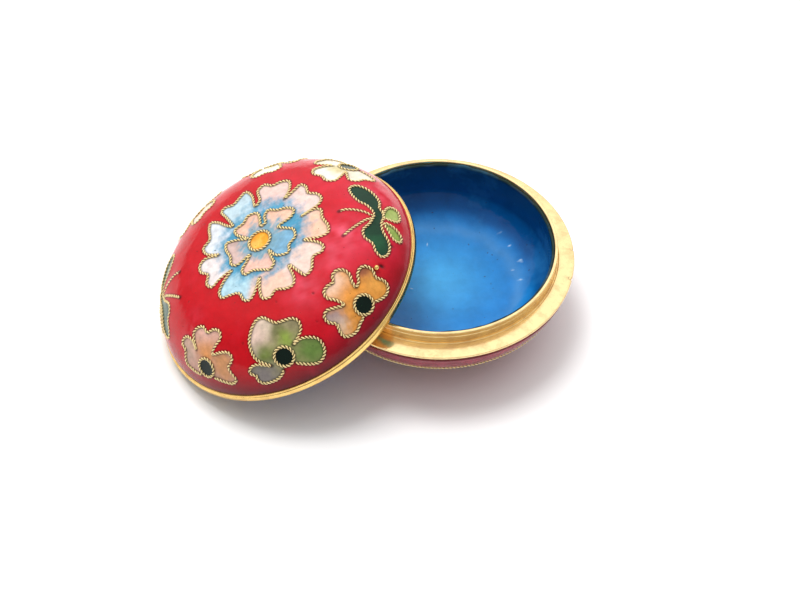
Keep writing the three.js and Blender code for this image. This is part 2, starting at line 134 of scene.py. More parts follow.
def make(name, verts, faces, body, material, nodes, tint=None):
    """One piece from millimetre points in the bowl's or the lid's own frame."""
    m = np.array(PLACES[body])
    world = np.asarray(verts, float) @ m[:3, :3].T + m[:3, 3]
    mesh = bpy.data.meshes.new(name)
    mesh.from_pydata(world.tolist(), [], faces)
    if tint is not None:
        layer = mesh.color_attributes.new("tint", "FLOAT_COLOR", "POINT")
        colours = np.ones((len(world), 4))
        colours[:, :3] = tint
        layer.data.foreach_set("color", colours.ravel())
    mesh.validate()
    mesh.update()
    mesh.polygons.foreach_set("use_smooth", [True] * len(mesh.polygons))
    obj = bpy.data.objects.new(name, mesh)
    bpy.context.scene.collection.objects.link(obj)
    mesh.materials.append(material)
    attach(obj, body)
    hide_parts(*nodes)


# ---- Smooth unevenness, the same at every run ----


WAVE_OCTAVES = ((1.0, 0.6), (2.1, 0.3), (4.3, 0.14))  # fineness and share
WAVES_PER_OCTAVE = 4
WAVE_SCALE = 2.6


def waves(points, size, seed):
    """Soft noise of about one millimetre height, as a sum of sines in random directions."""
    random = np.random.default_rng(seed)
    total = np.zeros(len(points))
    for octave, share in WAVE_OCTAVES:
        for _ in range(WAVES_PER_OCTAVE):
            direction = random.normal(size=3)
            direction /= np.linalg.norm(direction)
            phase = random.uniform(0, TAU)
            total += share * np.sin(points @ direction * TAU * octave / size + phase)
    return total / WAVE_SCALE


def bell(x):
    return np.exp(-(x**2))


def rising(value, start, over):
    """A share that goes from 0 at the start to 1 after a distance."""
    return np.clip((value - start) / over, 0, 1)


def mix(first, second, share):
    return first * (1 - share) + second * share


def eased(share):
    """A share from 0 to 1 with soft ends."""
    return share * share * (3 - 2 * share)


# ---- Bun surfaces ----


def bun_height(bun, radius):
    share = np.minimum(np.asarray(radius, float) / bun["radius"], 1)
    return bun["height"] * (1 - share ** bun["flatness"]) ** (1 / bun["shoulder"])


def skin(bun, thickness):
    return {**bun, "radius": bun["radius"] - thickness, "height": bun["height"] - thickness}


def bun_profile(bun, steps=64, start=0.0):
    """(radius, height) from the axis out to the widest circle, evenly along the curve."""
    angles = np.linspace(0, math.pi / 2, CURVE_SAMPLES)
    radius = bun["radius"] * np.sin(angles) ** CURVE_SPREAD
    radius[-1] = bun["radius"]
    height = bun_height(bun, radius)
    keep = radius >= start
    radius, height = radius[keep], height[keep]
    length = np.concatenate([[0], np.cumsum(np.hypot(np.diff(radius), np.diff(height)))])
    even = np.linspace(0, length[-1], steps)
    return np.stack([np.interp(even, length, radius), np.interp(even, length, height)], 1)


def round_corners(points, radii, steps=4):
    """A closed profile with its corners rounded, by one radius for each corner."""
    points = [np.array(p, float) for p in points]
    count = len(points)
    out = []
    for i, corner in enumerate(points):
        r = radii[i]
        before = points[i - 1] - corner
        after = points[(i + 1) % count] - corner
        if r <= 0:
            out.append(corner)
            continue
        sides = (CORNER_SHARE * np.linalg.norm(before), CORNER_SHARE * np.linalg.norm(after))
        reach = min(r, *sides)
        a = corner + before / np.linalg.norm(before) * reach
        b = corner + after / np.linalg.norm(after) * reach
        for k in range(steps + 1):
            t = k / steps
            out.append((1 - t) ** 2 * a + 2 * t * (1 - t) * corner + t * t * b)
    return np.array(out)


def lathe(profile, turns=LATHE_TURNS):
    """A turned solid from a closed profile. Points on the axis become one vertex."""
    angle = np.arange(turns) * TAU / turns
    verts, rings = [], []
    for radius, height in profile:
        if radius < 1e-6:
            rings.append([len(verts)] * turns)
            verts.append((0, 0, height))
        else:
            rings.append(list(range(len(verts), len(verts) + turns)))
            verts += list(zip(radius * np.cos(angle), radius * np.sin(angle), [height] * turns))
    faces = []
    for i, ring in enumerate(rings):
        following = rings[(i + 1) % len(rings)]
        for k in range(turns):
            n = (k + 1) % turns
            corners = [ring[k], ring[n], following[n], following[k]]
            face = list(dict.fromkeys(corners))
            if len(face) > 2:
                faces.append(face)
    return np.array(verts), faces


def cap_profile(outer, inner, centre, floor):
    """A cap between two buns, standing on a flat edge at the floor."""
    inside = bun_profile(inner) + (0, centre)
    outside = bun_profile(outer)[::-1] + (0, centre)
    edge = [(inner["radius"], floor), (outer["radius"], floor)]
    return np.array([*inside, *edge, *outside])


def hang(profile):
    """The same profile turned over and hung from the underside of the ledge."""
    return np.stack([profile[:, 0], LEDGE_UNDERSIDE - SEAM - profile[:, 1]], 1)


# ---- Materials ----


def nodes_of(name):
    material = bpy.data.materials.new(name)
    material.use_nodes = True
    tree = material.node_tree
    return material, tree, tree.nodes["Principled BSDF"]


def link(tree, a, out, b, into):
    tree.links.new(a.outputs[out], b.inputs[into])


def noise(tree, scale, detail=3.0, rough=0.5):
    where = tree.nodes.new("ShaderNodeTexCoord")
    texture = tree.nodes.new("ShaderNodeTexNoise")
    texture.inputs["Scale"].default_value = scale
    texture.inputs["Detail"].default_value = detail
    texture.inputs["Roughness"].default_value = rough
    link(tree, where, "Object", texture, "Vector")
    return texture


def grey(value):
    return (value,) * 3


def ramp(tree, source, out, stops):
    made = tree.nodes.new("ShaderNodeValToRGB")
    elements = made.color_ramp.elements
    while len(elements) < len(stops):
        elements.new(0.5)
    for element, (place, colour) in zip(elements, stops):
        element.position = place
        element.color = (*colour, 1)
    link(tree, source, out, made, "Fac")
    return made


MIX_SHARE, MIX_FIRST, MIX_SECOND = 0, 6, 7  # sockets of a colour Mix node
MIX_RESULT = 2


def blend(tree, mode, share, first, second):
    made = tree.nodes.new("ShaderNodeMix")
    made.data_type = "RGBA"
    made.blend_type = mode
    if isinstance(share, tuple):
        tree.links.new(share[0].outputs[share[1]], made.inputs[MIX_SHARE])
    else:
        made.inputs[MIX_SHARE].default_value = share
    for value, index in ((first, MIX_FIRST), (second, MIX_SECOND)):
        if isinstance(value, tuple) and hasattr(value[0], "outputs"):
            tree.links.new(value[0].outputs[value[1]], made.inputs[index])
        else:
            made.inputs[index].default_value = (*value, 1)
    return made


def bump(tree, shader, source, out, strength, distance, before=None):
    made = tree.nodes.new("ShaderNodeBump")
    made.inputs["Strength"].default_value = strength
    made.inputs["Distance"].default_value = distance
    link(tree, source, out, made, "Height")
    if before:
        link(tree, before, "Normal", made, "Normal")
    link(tree, made, "Normal", shader, "Normal")
    return made


def tint_of(tree):
    attribute = tree.nodes.new("ShaderNodeAttribute")
    attribute.attribute_name = "tint"
    return (attribute, "Color")


# How fine each noise is, and how deep in metres.
MOTTLE_SCALE = 1000
LIGHT_MOTTLE = 0.35
CLOUD_SCALE = 110
SPECK_SCALE = 1500
SPECK_COLOUR = (0.02, 0.01, 0.01)
RIPPLE_SCALE = 420
RIPPLE_DEPTH = 0.00012
ENAMEL_GRAIN_SCALE = 2600
METAL_GRAIN_SCALE = 1800
GRAIN_DEPTH = 0.00002
TURNING_DEPTH = 0.00004


def enamel(name, colour=None, mottle=0.2, size=2.5, clouds_and_sheen=None, cloud_and_sheen_share=0.5,
           rough=0.1, shine=0.24):
    """Vitreous enamel: glossy glass with mottled colour, cloudy patches that on the bowl's red are a
    painted sheen as well, fine specks and a rippled skin.
    """
    material, tree, shader = nodes_of(name)
    base = tint_of(tree) if colour is None else tuple(colour)
    fine = noise(tree, MOTTLE_SCALE / size, 5, 0.6)
    dark, light = grey(1 - mottle), grey(1 + mottle * LIGHT_MOTTLE)
    shades = ramp(tree, fine, "Fac", [(0.3, dark), (0.7, light)])
    mixed = blend(tree, "MULTIPLY", 1.0, base, (shades, "Color"))
    if clouds_and_sheen is not None:
        broad = noise(tree, CLOUD_SCALE, 4, 0.62)
        share = ramp(tree, broad, "Fac", [(0.52, grey(0)), (0.74, grey(cloud_and_sheen_share))])
        mixed = blend(tree, "MIX", (share, "Color"), (mixed, MIX_RESULT), tuple(clouds_and_sheen))
    dots = noise(tree, SPECK_SCALE, 2, 0.5)
    share = ramp(tree, dots, "Fac", [(0.735, grey(0)), (0.76, grey(0.75))])
    mixed = blend(tree, "MIX", (share, "Color"), (mixed, MIX_RESULT), SPECK_COLOUR)
    tree.links.new(mixed.outputs[MIX_RESULT], shader.inputs["Base Color"])
    shader.inputs["Roughness"].default_value = rough
    shader.inputs["Specular IOR Level"].default_value = shine
    ripple = noise(tree, RIPPLE_SCALE, 3, 0.55)
    grain = noise(tree, ENAMEL_GRAIN_SCALE, 2, 0.5)
    first = bump(tree, shader, ripple, "Fac", 0.5, RIPPLE_DEPTH)
    bump(tree, shader, grain, "Fac", 0.25, GRAIN_DEPTH, first)
    return material


def metal(name, colour, dark, rough=0.2, tarnish=0.35, size=3.0, lines=None, metallic=1.0):
    """Gilt or copper: polished with a little tarnish, and fine turning lines where asked."""
    material, tree, shader = nodes_of(name)
    spread = noise(tree, MOTTLE_SCALE / size, 6, 0.65)
    share = ramp(tree, spread, "Fac", [(0.45, grey(0)), (0.78, grey(tarnish))])
    base = tint_of(tree) if colour is None else tuple(colour)
    mixed = blend(tree, "MIX", (share, "Color"), base, tuple(dark))
    tree.links.new(mixed.outputs[MIX_RESULT], shader.inputs["Base Color"])
    shader.inputs["Metallic"].default_value = metallic
    roughness = ramp(tree, spread, "Fac", [(0.3, grey(rough * 0.8)), (0.8, grey(rough * 1.8))])
    link(tree, roughness, "Color", shader, "Roughness")
    grain = noise(tree, METAL_GRAIN_SCALE, 4, 0.6)
    first = bump(tree, shader, grain, "Fac", 0.3, GRAIN_DEPTH)
    if lines:
        where = tree.nodes.new("ShaderNodeTexCoord")
        split = tree.nodes.new("ShaderNodeSeparateXYZ")
        link(tree, where, "Object", split, "Vector")
        stretch = tree.nodes.new("ShaderNodeCombineXYZ")
        link(tree, split, "Z", stretch, "Z")
        streak = tree.nodes.new("ShaderNodeTexNoise")
        streak.inputs["Scale"].default_value = lines
        streak.inputs["Detail"].default_value = 3
        link(tree, stretch, "Vector", streak, "Vector")
        bump(tree, shader, streak, "Fac", 0.5, TURNING_DEPTH, first)
    return material


GOLD = rgb(253, 223, 164)
BLUE = rgb(28, 118, 196)

GILT = metal("gilt", rgb(250, 210, 128), rgb(160, 92, 40), rough=0.17, tarnish=0.5)
GILT_TURNED = metal("gilt_turned", GOLD, rgb(165, 95, 40), rough=0.16, tarnish=0.4, size=2.2,
                    lines=3200, metallic=0.86)
WIRE = metal("wire", None, rgb(160, 96, 40), rough=0.2, tarnish=0.3, size=1.2, metallic=0.4)
COPPER_LOOK = metal("copper", rgb(190, 105, 65), rgb(90, 50, 35), rough=0.35, tarnish=0.6)
RED_ENAMEL = enamel("red_enamel", mottle=0.14, size=2.2, clouds_and_sheen=rgb(226, 52, 78),
                    cloud_and_sheen_share=0.22, rough=0.13)
# The bowl's pale pink cloud patches are a painted reflection of the pale floor at grazing angles, laid
# over the enamel's own cloudiness.
BOWL_RED_WITH_SHEEN = enamel("bowl_red_enamel_with_sheen", rgb(152, 40, 58), mottle=0.35, size=2.2,
                  clouds_and_sheen=rgb(200, 130, 138), cloud_and_sheen_share=0.7, shine=0.8)
BLUE_ENAMEL = enamel("blue_enamel", mottle=0.18, size=3.5, clouds_and_sheen=rgb(70, 160, 225), cloud_and_sheen_share=0.25)
LID_BLUE = enamel("lid_blue_enamel", BLUE, mottle=0.25, size=3.5, clouds_and_sheen=rgb(60, 150, 215),
                  cloud_and_sheen_share=0.3)
CELL_ENAMEL = enamel("cell_enamel", mottle=0.24, size=1.1, rough=0.16)


# ---- The lid's dome and its ornament ----


def outside_dome(points):
    """True where a point lies outside the dome."""
    radius = np.hypot(points[..., 0], points[..., 1]) / DOME["radius"]
    height = np.maximum(points[..., 2] - LID_BAND, 0) / DOME["height"]
    return radius ** DOME["flatness"] + height ** DOME["shoulder"] > 1


def bun_normal(bun, points):
    """Outward normals of a bun at points given above its widest circle."""
    radius = np.hypot(points[:, 0], points[:, 1])
    safe = np.maximum(radius, 1e-9)
    across = bun["flatness"] * (radius / bun["radius"]) ** (bun["flatness"] - 1) / bun["radius"]
    height = np.maximum(points[:, 2], 1e-6) / bun["height"]
    up = bun["shoulder"] * height ** (bun["shoulder"] - 1) / bun["height"]
    normals = np.stack([points[:, 0] / safe * across, points[:, 1] / safe * across, up], 1)
    return normals / np.linalg.norm(normals, axis=1)[:, None]


def motif_frame(radius, turn):
    """Origin and axes of a motif: x up the slope, y sideways, z out of the dome."""
    angle = math.radians(turn)
    out = np.array([math.cos(angle), math.sin(angle)])
    height = bun_height(DOME, radius)
    origin = np.array([out[0] * radius, out[1] * radius, height])
    normal = bun_normal(DOME, origin[None])[0]
    up = np.array([-out[0], -out[1], 0])
    up = up - normal * (up @ normal)
    up /= np.linalg.norm(up)
    return origin + (0, 0, LID_BAND), up, np.cross(normal, up), normal


DROP_BELOW, DROP_ABOVE = -10.0, 4.0
HALVINGS = 40


def drop(place, flat):
    """Points of the dome along a motif's normal from points of its plane."""
    origin, x, y, z = place
    base = origin + flat[:, :1] * x + flat[:, 1:] * y
    low, high = np.full(len(flat), DROP_BELOW), np.full(len(flat), DROP_ABOVE)
    for _ in range(HALVINGS):
        middle = (low + high) / 2
        outside = outside_dome(base + middle[:, None] * z)
        high = np.where(outside, middle, high)
        low = np.where(outside, low, middle)
    return base + low[:, None] * z


def polar(turn, radius):
    return np.array([radius * math.cos(math.radians(turn)), radius * math.sin(math.radians(turn))])


def between(p, q, start, end, s):
    return (end - s) / (end - start) * p + (s - start) / (end - start) * q


def smooth_curve(points, closed, step=0.12):
    """A centripetal Catmull-Rom curve through the points, evenly spaced."""
    p = np.array(points, float)
    if closed:
        p = np.vstack([p[-1], p, p[0], p[1]])
    else:
        p = np.vstack([2 * p[0] - p[1], p, 2 * p[-1] - p[-2]])
    out = []
    for i in range(len(p) - 3):
        a, b, c, d = p[i : i + 4]
        t = [0.0]
        for u, v in ((a, b), (b, c), (c, d)):
            t.append(t[-1] + max(np.linalg.norm(v - u), 1e-6) ** 0.5)
        for s in np.linspace(t[1], t[2], 24, endpoint=False):
            a1, a2, a3 = (between(p[i + k], p[i + k + 1], t[k], t[k + 1], s) for k in range(3))
            b1 = between(a1, a2, t[0], t[2], s)
            b2 = between(a2, a3, t[1], t[3], s)
            out.append(between(b1, b2, t[1], t[2], s))
    if not closed:
        out.append(p[-2])
    out = np.array(out)
    if closed:
        out = np.vstack([out, out[0]])
    length = np.concatenate([[0], np.cumsum(np.linalg.norm(np.diff(out, axis=0), axis=1))])
    count = max(int(length[-1] / step), 8)
    even = np.linspace(0, length[-1], count, endpoint=not closed)
    return np.stack([np.interp(even, length, out[:, k]) for k in range(out.shape[1])], 1)


def inside(points, polygon):
    """Which points lie in a closed polygon."""
    found = np.zeros(len(points), bool)
    lo, hi = polygon.min(0), polygon.max(0)
    near = np.where(((points >= lo) & (points <= hi)).all(1))[0]
    x, y = points[near, 0], points[near, 1]
    odd = np.zeros(len(near), bool)
    j = len(polygon) - 1
    for i in range(len(polygon)):
        xi, yi = polygon[i]
        xj, yj = polygon[j]
        if yi != yj:
            crosses = ((yi > y) != (yj > y)) & (x < (xj - xi) * (y - yi) / (yj - yi) + xi)
            odd ^= crosses
        j = i
    found[near] = odd
    return found


# Outlines of the motifs, in millimetres in each motif's own plane.
# LOBES goes round one petal: from its start, middle or end, how far in, how far out.
LOBES = (
    (0, 0.16, 0.5), (0, 0.3, 0.9), (0, 0.62, 1.0), (1, 0.0, 0.86),
    (2, 0.62, 1.0), (2, 0.3, 0.9), (2, 0.16, 0.5),
)
BLOSSOM_DISC = 1.7
BLOSSOM_NOTCH = 2.8
BLOSSOM_END = 2.2
BLOSSOM_END_TURN = 36


def fan_outline(petals):
    """A line round a fan of two-lobed petals, each given by direction and reach."""
    first = petals[0][0] - BLOSSOM_END_TURN
    last = petals[-1][0] + BLOSSOM_END_TURN
    points = [polar(first, BLOSSOM_END)]
    for i, (turn, reach) in enumerate(petals):
        before = first if i == 0 else (petals[i - 1][0] + turn) / 2
        after = last if i == len(petals) - 1 else (petals[i + 1][0] + turn) / 2
        if i:
            points.append(polar(before, BLOSSOM_NOTCH))
        for side, share, rise in LOBES:
            start = (before, turn, after)[side]
            height = BLOSSOM_NOTCH + (reach - BLOSSOM_NOTCH) * rise
            points.append(polar(start + (turn - start) * share, height))
    points.append(polar(last, BLOSSOM_END))
    return points


FLOWER_PLACE = motif_frame(1, 180)
# The flower's outer line goes round nine two-lobed petals, its inner line round five.
OUTER_LINE = [
    (4.9, -5.7), (5.9, -8.4), (6.8, -10.7), (5.9, -11.3), (4.4, -11), (3, -12.1), (1.8, -12.9),
    (0.6, -11), (0.2, -8.1), (-0.7, -8.9), (-0.6, -11.8), (-1.8, -12.7), (-3.4, -11.6), (-5.2, -11.7),
    (-6.5, -11), (-6.4, -8.6), (-5.3, -6.9), (-7.2, -8.1), (-8.5, -9), (-9.4, -8.1), (-9.7, -6.3),
    (-11.2, -5.3), (-11.8, -3.9), (-11.1, -2.6), (-7.9, -1.3), (-10.4, -1.8), (-11.4, -1.2), (-11.4, 0.6),
    (-12.1, 2.8), (-11.8, 4.3), (-10.2, 4.7), (-7.5, 4.1), (-9.9, 5.7), (-10.6, 6.9), (-10.1, 7.8),
    (-8.6, 8.2), (-7.7, 10.6), (-6.5, 11.3), (-5.4, 10), (-4.1, 8.2), (-4.5, 11.1), (-4, 12.3),
    (-2.7, 12.5), (-0.9, 12), (0.3, 12.9), (1.7, 12.5), (1.9, 10.8), (1.5, 8.2), (2.8, 10.7), (4, 11.7),
    (5, 11.3), (5.7, 9.5), (7.3, 9), (9, 8.7), (9.3, 7.4), (8.2, 5.7), (6.3, 4), (8.8, 4.7),
    (10.5, 5.5), (11.4, 4.3), (10.9, 2.5), (12.2, 1.1), (12.2, -0.5), (11, -1.3), (8.3, -0.7),
    (10.6, -2.2), (11.1, -3.9), (9.7, -5.2), (9.6, -7.9), (9.1, -9.2), (7.7, -8.4), (6.1, -6.6),
]
OUTER_PETALS = [(14, 11.9), (50, 12.2), (88, 12.7), (127, 12.7), (172, 12.2), (205, 12.4), (245, 12.7)]
OUTER_PETALS += [(290, 12.2), (324, 11.8)]
OUTER_COLOURS = [(232, 220, 218), (176, 212, 226), (240, 196, 174), (240, 208, 194), (244, 194, 166)]
OUTER_COLOURS += [(236, 204, 194), (232, 196, 186), (190, 212, 222), (222, 226, 232)]
INNER_LINE = [
    (2.4, -1.3), (4.4, -3.3), (4.6, -4.6), (2.9, -5.3), (1.8, -6.5), (0.1, -6.3), (-0.3, -4.8),
    (-0.3, -2.9), (-1.2, -3.2), (-1.2, -4.8), (-2.1, -5.8), (-3.6, -5), (-5.6, -4.5), (-6.7, -3.4),
    (-6, -2.1), (-3.4, -1.1), (-4.8, 0), (-6, 0.9), (-6.1, 2.7), (-4.8, 3.9), (-4.5, 5.4),
    (-3.1, 5.4), (-1.9, 4.7), (-1.1, 3.2), (-1.3, 5.1), (-1.6, 6.4), (-0.6, 7.4), (0.6, 6.9), (2.5, 6.1),
    (4, 6.2), (4.4, 5), (3.3, 3.6), (2.5, 2.4), (5.2, 3.4), (6.2, 2.7), (6.2, 0.9), (6.8, -1.1),
    (6.5, -2.4), (4.7, -2.2),
]
INNER_PETALS = [(3, 6.3), (68, 7.2), (142, 6.9), (213, 6.9), (291, 6.1)]
INNER_COLOURS = [(206, 176, 168), (236, 188, 170), (122, 172, 202), (240, 192, 166), (238, 188, 164)]
FLOWER_DISC = 2.05

BLOSSOM_ONE = [
    (-2.3, 1.4), (-2, 3.2), (-1.2, 5.1), (0.2, 5.3), (1.3, 5.2), (2.1, 6.1), (3.2, 5.8), (3.8, 4.6),
    (3.3, 3.2), (2.2, 2.3), (3.4, 2.9), (4.7, 3.4), (5.7, 2.8), (6.2, 1.5), (5.6, 0.2), (6.3, -1),
    (6.2, -2.4), (5.2, -2.9), (4, -2.2), (2.4, -1.7), (3, -3.3), (3.3, -4.9), (2.6, -5.8), (1.6, -5.6),
    (0.8, -5.1), (-0.3, -5.7), (-1.4, -6.4), (-2.3, -5.5), (-2.3, -4), (-2, -1.9),
]
BLOSSOM_TWO = [
    (-2.4, 1.3), (-3.2, 2.4), (-3.5, 3.9), (-3.2, 5.8), (-2.3, 6.4), (-1.6, 6.3), (-0.8, 7.1), (0, 6.7),
    (0.3, 5.6), (-0.2, 4.2), (-0.9, 2.9), (0.3, 4.3), (1.2, 5), (2.4, 5.2), (4.1, 5), (5.9, 3.9),
    (7, 2.5), (7, 1.3), (6.2, 0.3), (5.5, -0.6), (5.3, -2), (5.1, -3.5), (4.3, -4.4), (2.9, -4.3),
    (1.8, -3.2), (1.1, -2.1), (1.5, -3.4), (1.2, -5), (0.3, -6.3), (-1.2, -6.6), (-2.7, -6),
    (-3.5, -4.7), (-3.1, -3.1), (-2, -1.2),
]
BLOSSOM_THREE = [
    (-2, 1.5), (-2.2, 2.7), (-2.6, 3.9), (-2.3, 5.2), (-1.4, 6.1), (-0.2, 5.9), (0.9, 5.4), (2.2, 6),
    (3.2, 5.7), (3.6, 4.7), (2.9, 3.5), (2, 2.1), (3.4, 2.3), (4.9, 2.9), (5.8, 2.3), (5.9, 1.1),
    (5.6, 0.1), (6.3, -0.8), (6.3, -1.9), (5.5, -2.7), (4.3, -2.7), (3.2, -1.9), (2.2, -1.6), (2.4, -2.6),
    (3.2, -3.5), (3.5, -4.7), (2.9, -5.6), (1.6, -5.8), (0.5, -5.2), (-1.1, -5.7), (-2.2, -5.4),
    (-2.8, -4.3), (-2.6, -3), (-1.9, -1.7),
]
# For each blossom: its place on the dome, the middle of its disc, and its line.
BLOSSOMS = {
    "blossom_1": ((22.2, 47), (-0.5, -0.1), BLOSSOM_ONE),
    "blossom_2": ((21.8, 89), (-0.2, 0.2), BLOSSOM_TWO),
    "blossom_3": ((22.3, 130), (-0.7, -0.1), BLOSSOM_THREE),
    "blossom_4": ((21.6, 217), (0, 0), fan_outline([(-78, 6.1), (0, 6.6), (80, 6)])),
    "blossom_5": ((21.8, 261), (0, 0), fan_outline([(-80, 6), (4, 6.5), (78, 6.2)])),
    "blossom_6": ((21.8, 305), (0, 0), fan_outline([(-76, 6.2), (0, 6.6), (79, 5.9)])),
}
WINGS = [
    (-0.7, -1.2), (0.3, -2.9), (1.8, -3.9), (3, -5.9), (3.1, -7.4), (2, -8.1), (0.4, -7.6),
    (-1.2, -6), (-1.9, -4.3), (-1.8, -2.8), (-2.3, -2), (-2.4, -0.7), (-2, 0.6), (-2.2, 2.3),
    (-3.2, 4.1), (-3.4, 5.6), (-2.9, 6.8), (-1.9, 7.3), (-0.9, 6.6), (-0.3, 5.2), (1.1, 4.1), (1.3, 2.6),
    (0.1, 1), (-0.4, -0.1),
]
TAIL = [(-2.5, -0.8), (-2.7, -2.4), (-3.8, -3.8), (-5.2, -3.7), (-5.6, -1.7), (-4.8, -0.7), (-3.6, -0.6)]
OTHER_TAIL = [(-2.5, 0.5), (-3.5, 0.5), (-4.8, 1.1), (-5.7, 2.3), (-5.5, 3.3), (-4.3, 3.4), (-3.3, 2.2)]
ANTENNAE = [
    [(-0.3, -0.7), (0.8, -1.3), (2.8, -1.8), (4.3, -1.9), (5.2, -1.6)],
    [(-0.2, 0.0), (0.6, 0.3), (1.9, 1.3), (3.3, 2.5), (4.6, 3.8)],
]
BUTTERFLIES = {"butterfly_1": (19.9, 173), "butterfly_2": (20.3, 358)}

# Colour patches of the blossoms: direction and distance from the disc, size, colour.
PAINT = {
    "blossom_1": ((206, 158, 140), [(0, 2.6, 1.6, (216, 140, 62)), (-80, 4.2, 2, (206, 142, 82)),
        (6, 5.4, 1.7, (224, 178, 164)), (76, 5.2, 1.5, (200, 170, 150))]),
    "blossom_2": ((152, 146, 100), [(-101, 5, 2, (92, 132, 54)), (34, 6.6, 2, (242, 208, 196)),
        (66, 5.9, 1.1, (210, 186, 168)), (12, 6.4, 1.4, (222, 202, 180)),
        (70, 3.8, 1.3, (100, 124, 44)), (-25, 3, 0.95, (142, 168, 66)),
        (-4, 4.4, 1, (100, 104, 54)), (-22, 6.6, 1.3, (180, 166, 130)),
        (-34, 5.4, 1.2, (142, 132, 98)), (110, 5.6, 2, (132, 122, 128))]),
    "blossom_3": ((228, 152, 66), [(70, 5.4, 1.5, (150, 140, 150)), (88, 5.6, 1.2, (236, 206, 176)),
        (3, 5.6, 1.8, (240, 206, 184)), (0, 3, 1.3, (228, 146, 50)),
        (-60, 5.8, 1.3, (116, 50, 56)), (-90, 5.2, 1.6, (232, 164, 78))]),
    # The three far blossoms' near-white is partly their own cream and partly a painted highlight,
    # brightest towards the petal tips.
    "blossom_4": ((240, 226, 204), [(0, 5.5, 2, (246, 240, 226)), (0, 2.6, 1.3, (206, 190, 120))]),
    "blossom_5": ((242, 232, 212), [(0, 5.5, 2, (250, 246, 236)), (0, 2.6, 1.3, (214, 196, 130))]),
    "blossom_6": ((232, 200, 176), [(0, 5.5, 2, (240, 214, 196)), (0, 2.6, 1.3, (224, 160, 84))]),
}


cells = []  # name, motif place, polygon, painter
lines = []  # name, motif place, flat curve, closed


PETAL_SPREAD = 11
SECOND_SEED = 50  # added to a seed for the finer of two noises
PATCH_BASE = 0.55
PATCH_STRENGTH = 2.6


def lifted(flat):
    """Points of a plane as points in space."""
    return np.column_stack([flat, flat[:, 0] * 0])


def flower_paint(petals, colours, base, low, high, seed):
    def paint(flat):
        reach = np.hypot(flat[:, 0], flat[:, 1])
        turn = np.degrees(np.arctan2(flat[:, 1], flat[:, 0])) % 360
        middles = np.array([p[0] for p in petals])
        apart = np.abs((turn[:, None] - middles[None] + 180) % 360 - 180)
        weight = bell(apart / PETAL_SPREAD) + 1e-9
        weight /= weight.sum(1)[:, None]
        tips = weight @ np.array([rgb(*c) for c in colours])
        plane = lifted(flat)
        ragged = 1.3 * waves(plane, 2.6, seed) + 0.7 * waves(plane, 1.1, seed + SECOND_SEED)
        share = eased(rising(reach + ragged, low, high - low))[:, None]
        return mix(rgb(*base), tips, share)

    return paint


def patch_paint(base, patches, seed):
    def paint(flat):
        total = np.ones((len(flat), 1)) * PATCH_BASE
        colour = total * rgb(*base)
        plane = lifted(flat)
        ragged = 0.6 * waves(plane, 2.2, seed) + 0.3 * waves(plane, 0.9, seed + SECOND_SEED)
        for turn, reach, size, patch in patches:
            away = np.linalg.norm(flat - polar(turn, reach), axis=1) + ragged
            weight = (PATCH_STRENGTH * bell(away / size))[:, None]
            colour = colour + weight * rgb(*patch)
            total = total + weight
        return colour / total

    return paint


def plain_paint(colour):
    return lambda flat: np.ones((len(flat), 1)) * rgb(*colour)


def add_flower():
    outer = smooth_curve(OUTER_LINE, True)
    inner = smooth_curve(INNER_LINE, True)
    disc = smooth_curve([polar(t, FLOWER_DISC) + (0.4, 0.2) for t in range(0, 360, 30)], True)
    disc_paint = patch_paint((250, 160, 36), [(20, 1.2, 0.8, (252, 190, 90))], 5)
    outer_paint = flower_paint(OUTER_PETALS, OUTER_COLOURS, (74, 150, 184), 6.2, 10.2, 3)
    inner_paint = flower_paint(INNER_PETALS, INNER_COLOURS, (120, 160, 178), 2.6, 5.2, 4)
    cells.append(("flower_disc", FLOWER_PLACE, disc, disc_paint))
    cells.append(("flower_inner", FLOWER_PLACE, inner, inner_paint))
    cells.append(("flower_outer", FLOWER_PLACE, outer, outer_paint))
    lines.append(("flower_outer_wire", FLOWER_PLACE, outer, True))
    lines.append(("flower_inner_wire", FLOWER_PLACE, inner, True))
    lines.append(("flower_disc_wire", FLOWER_PLACE, disc, True))


def add_blossom(name, number):
    (radius, turn), middle, outline = BLOSSOMS[name]
    place = motif_frame(radius, turn)
    curve = smooth_curve(outline, False)
    disc = smooth_curve([polar(t, BLOSSOM_DISC) + middle for t in range(0, 360, 36)], True)
    base, patches = PAINT[name]
    disc_colour = (2, 24, 15) if number < 4 else (24, 52, 34)
    cells.append((name + "_disc", place, disc, plain_paint(disc_colour)))
    petal_paint = patch_paint(base, patches, 10 + number)
    cells.append((name + "_petal", place, np.vstack([curve, [middle]]), petal_paint))
    lines.append((name + "_petal_wire", place, curve, False))
    lines.append((name + "_disc_wire", place, disc, True))


def add_butterfly(name, number):
    place = motif_frame(*BUTTERFLIES[name])
    flip = np.array([1, 1 if number == 1 else -1])
    wings = smooth_curve(np.array(WINGS) * flip, True)
    green = (8, 54, 32) if number == 1 else (84, 110, 94)
    wing_patches = [(100, 5.0, 1.3, (26, 84, 50)), (280, 5.0, 1.4, (6, 48, 28))]
    cells.append((name + "_wing", place, wings, patch_paint(green, wing_patches, 30 + number)))
    lines.append((name + "_wing_wire", place, wings, True))
    for i, tail in enumerate((TAIL, OTHER_TAIL), 1):
        curve = smooth_curve(np.array(tail) * flip, True)
        tail_paint = patch_paint((140, 164, 78), [(200, 5.0, 1.6, (176, 190, 112))], 40 + i)
        cells.append((f"{name}_tail_{i}", place, curve, tail_paint))
        lines.append((f"{name}_tail_wire_{i}", place, curve, True))
    for i, antenna in enumerate(ANTENNAE, 1):
        curve = smooth_curve(np.array(antenna) * flip, False)
        lines.append((f"{name}_antenna_{i}", place, curve, False))


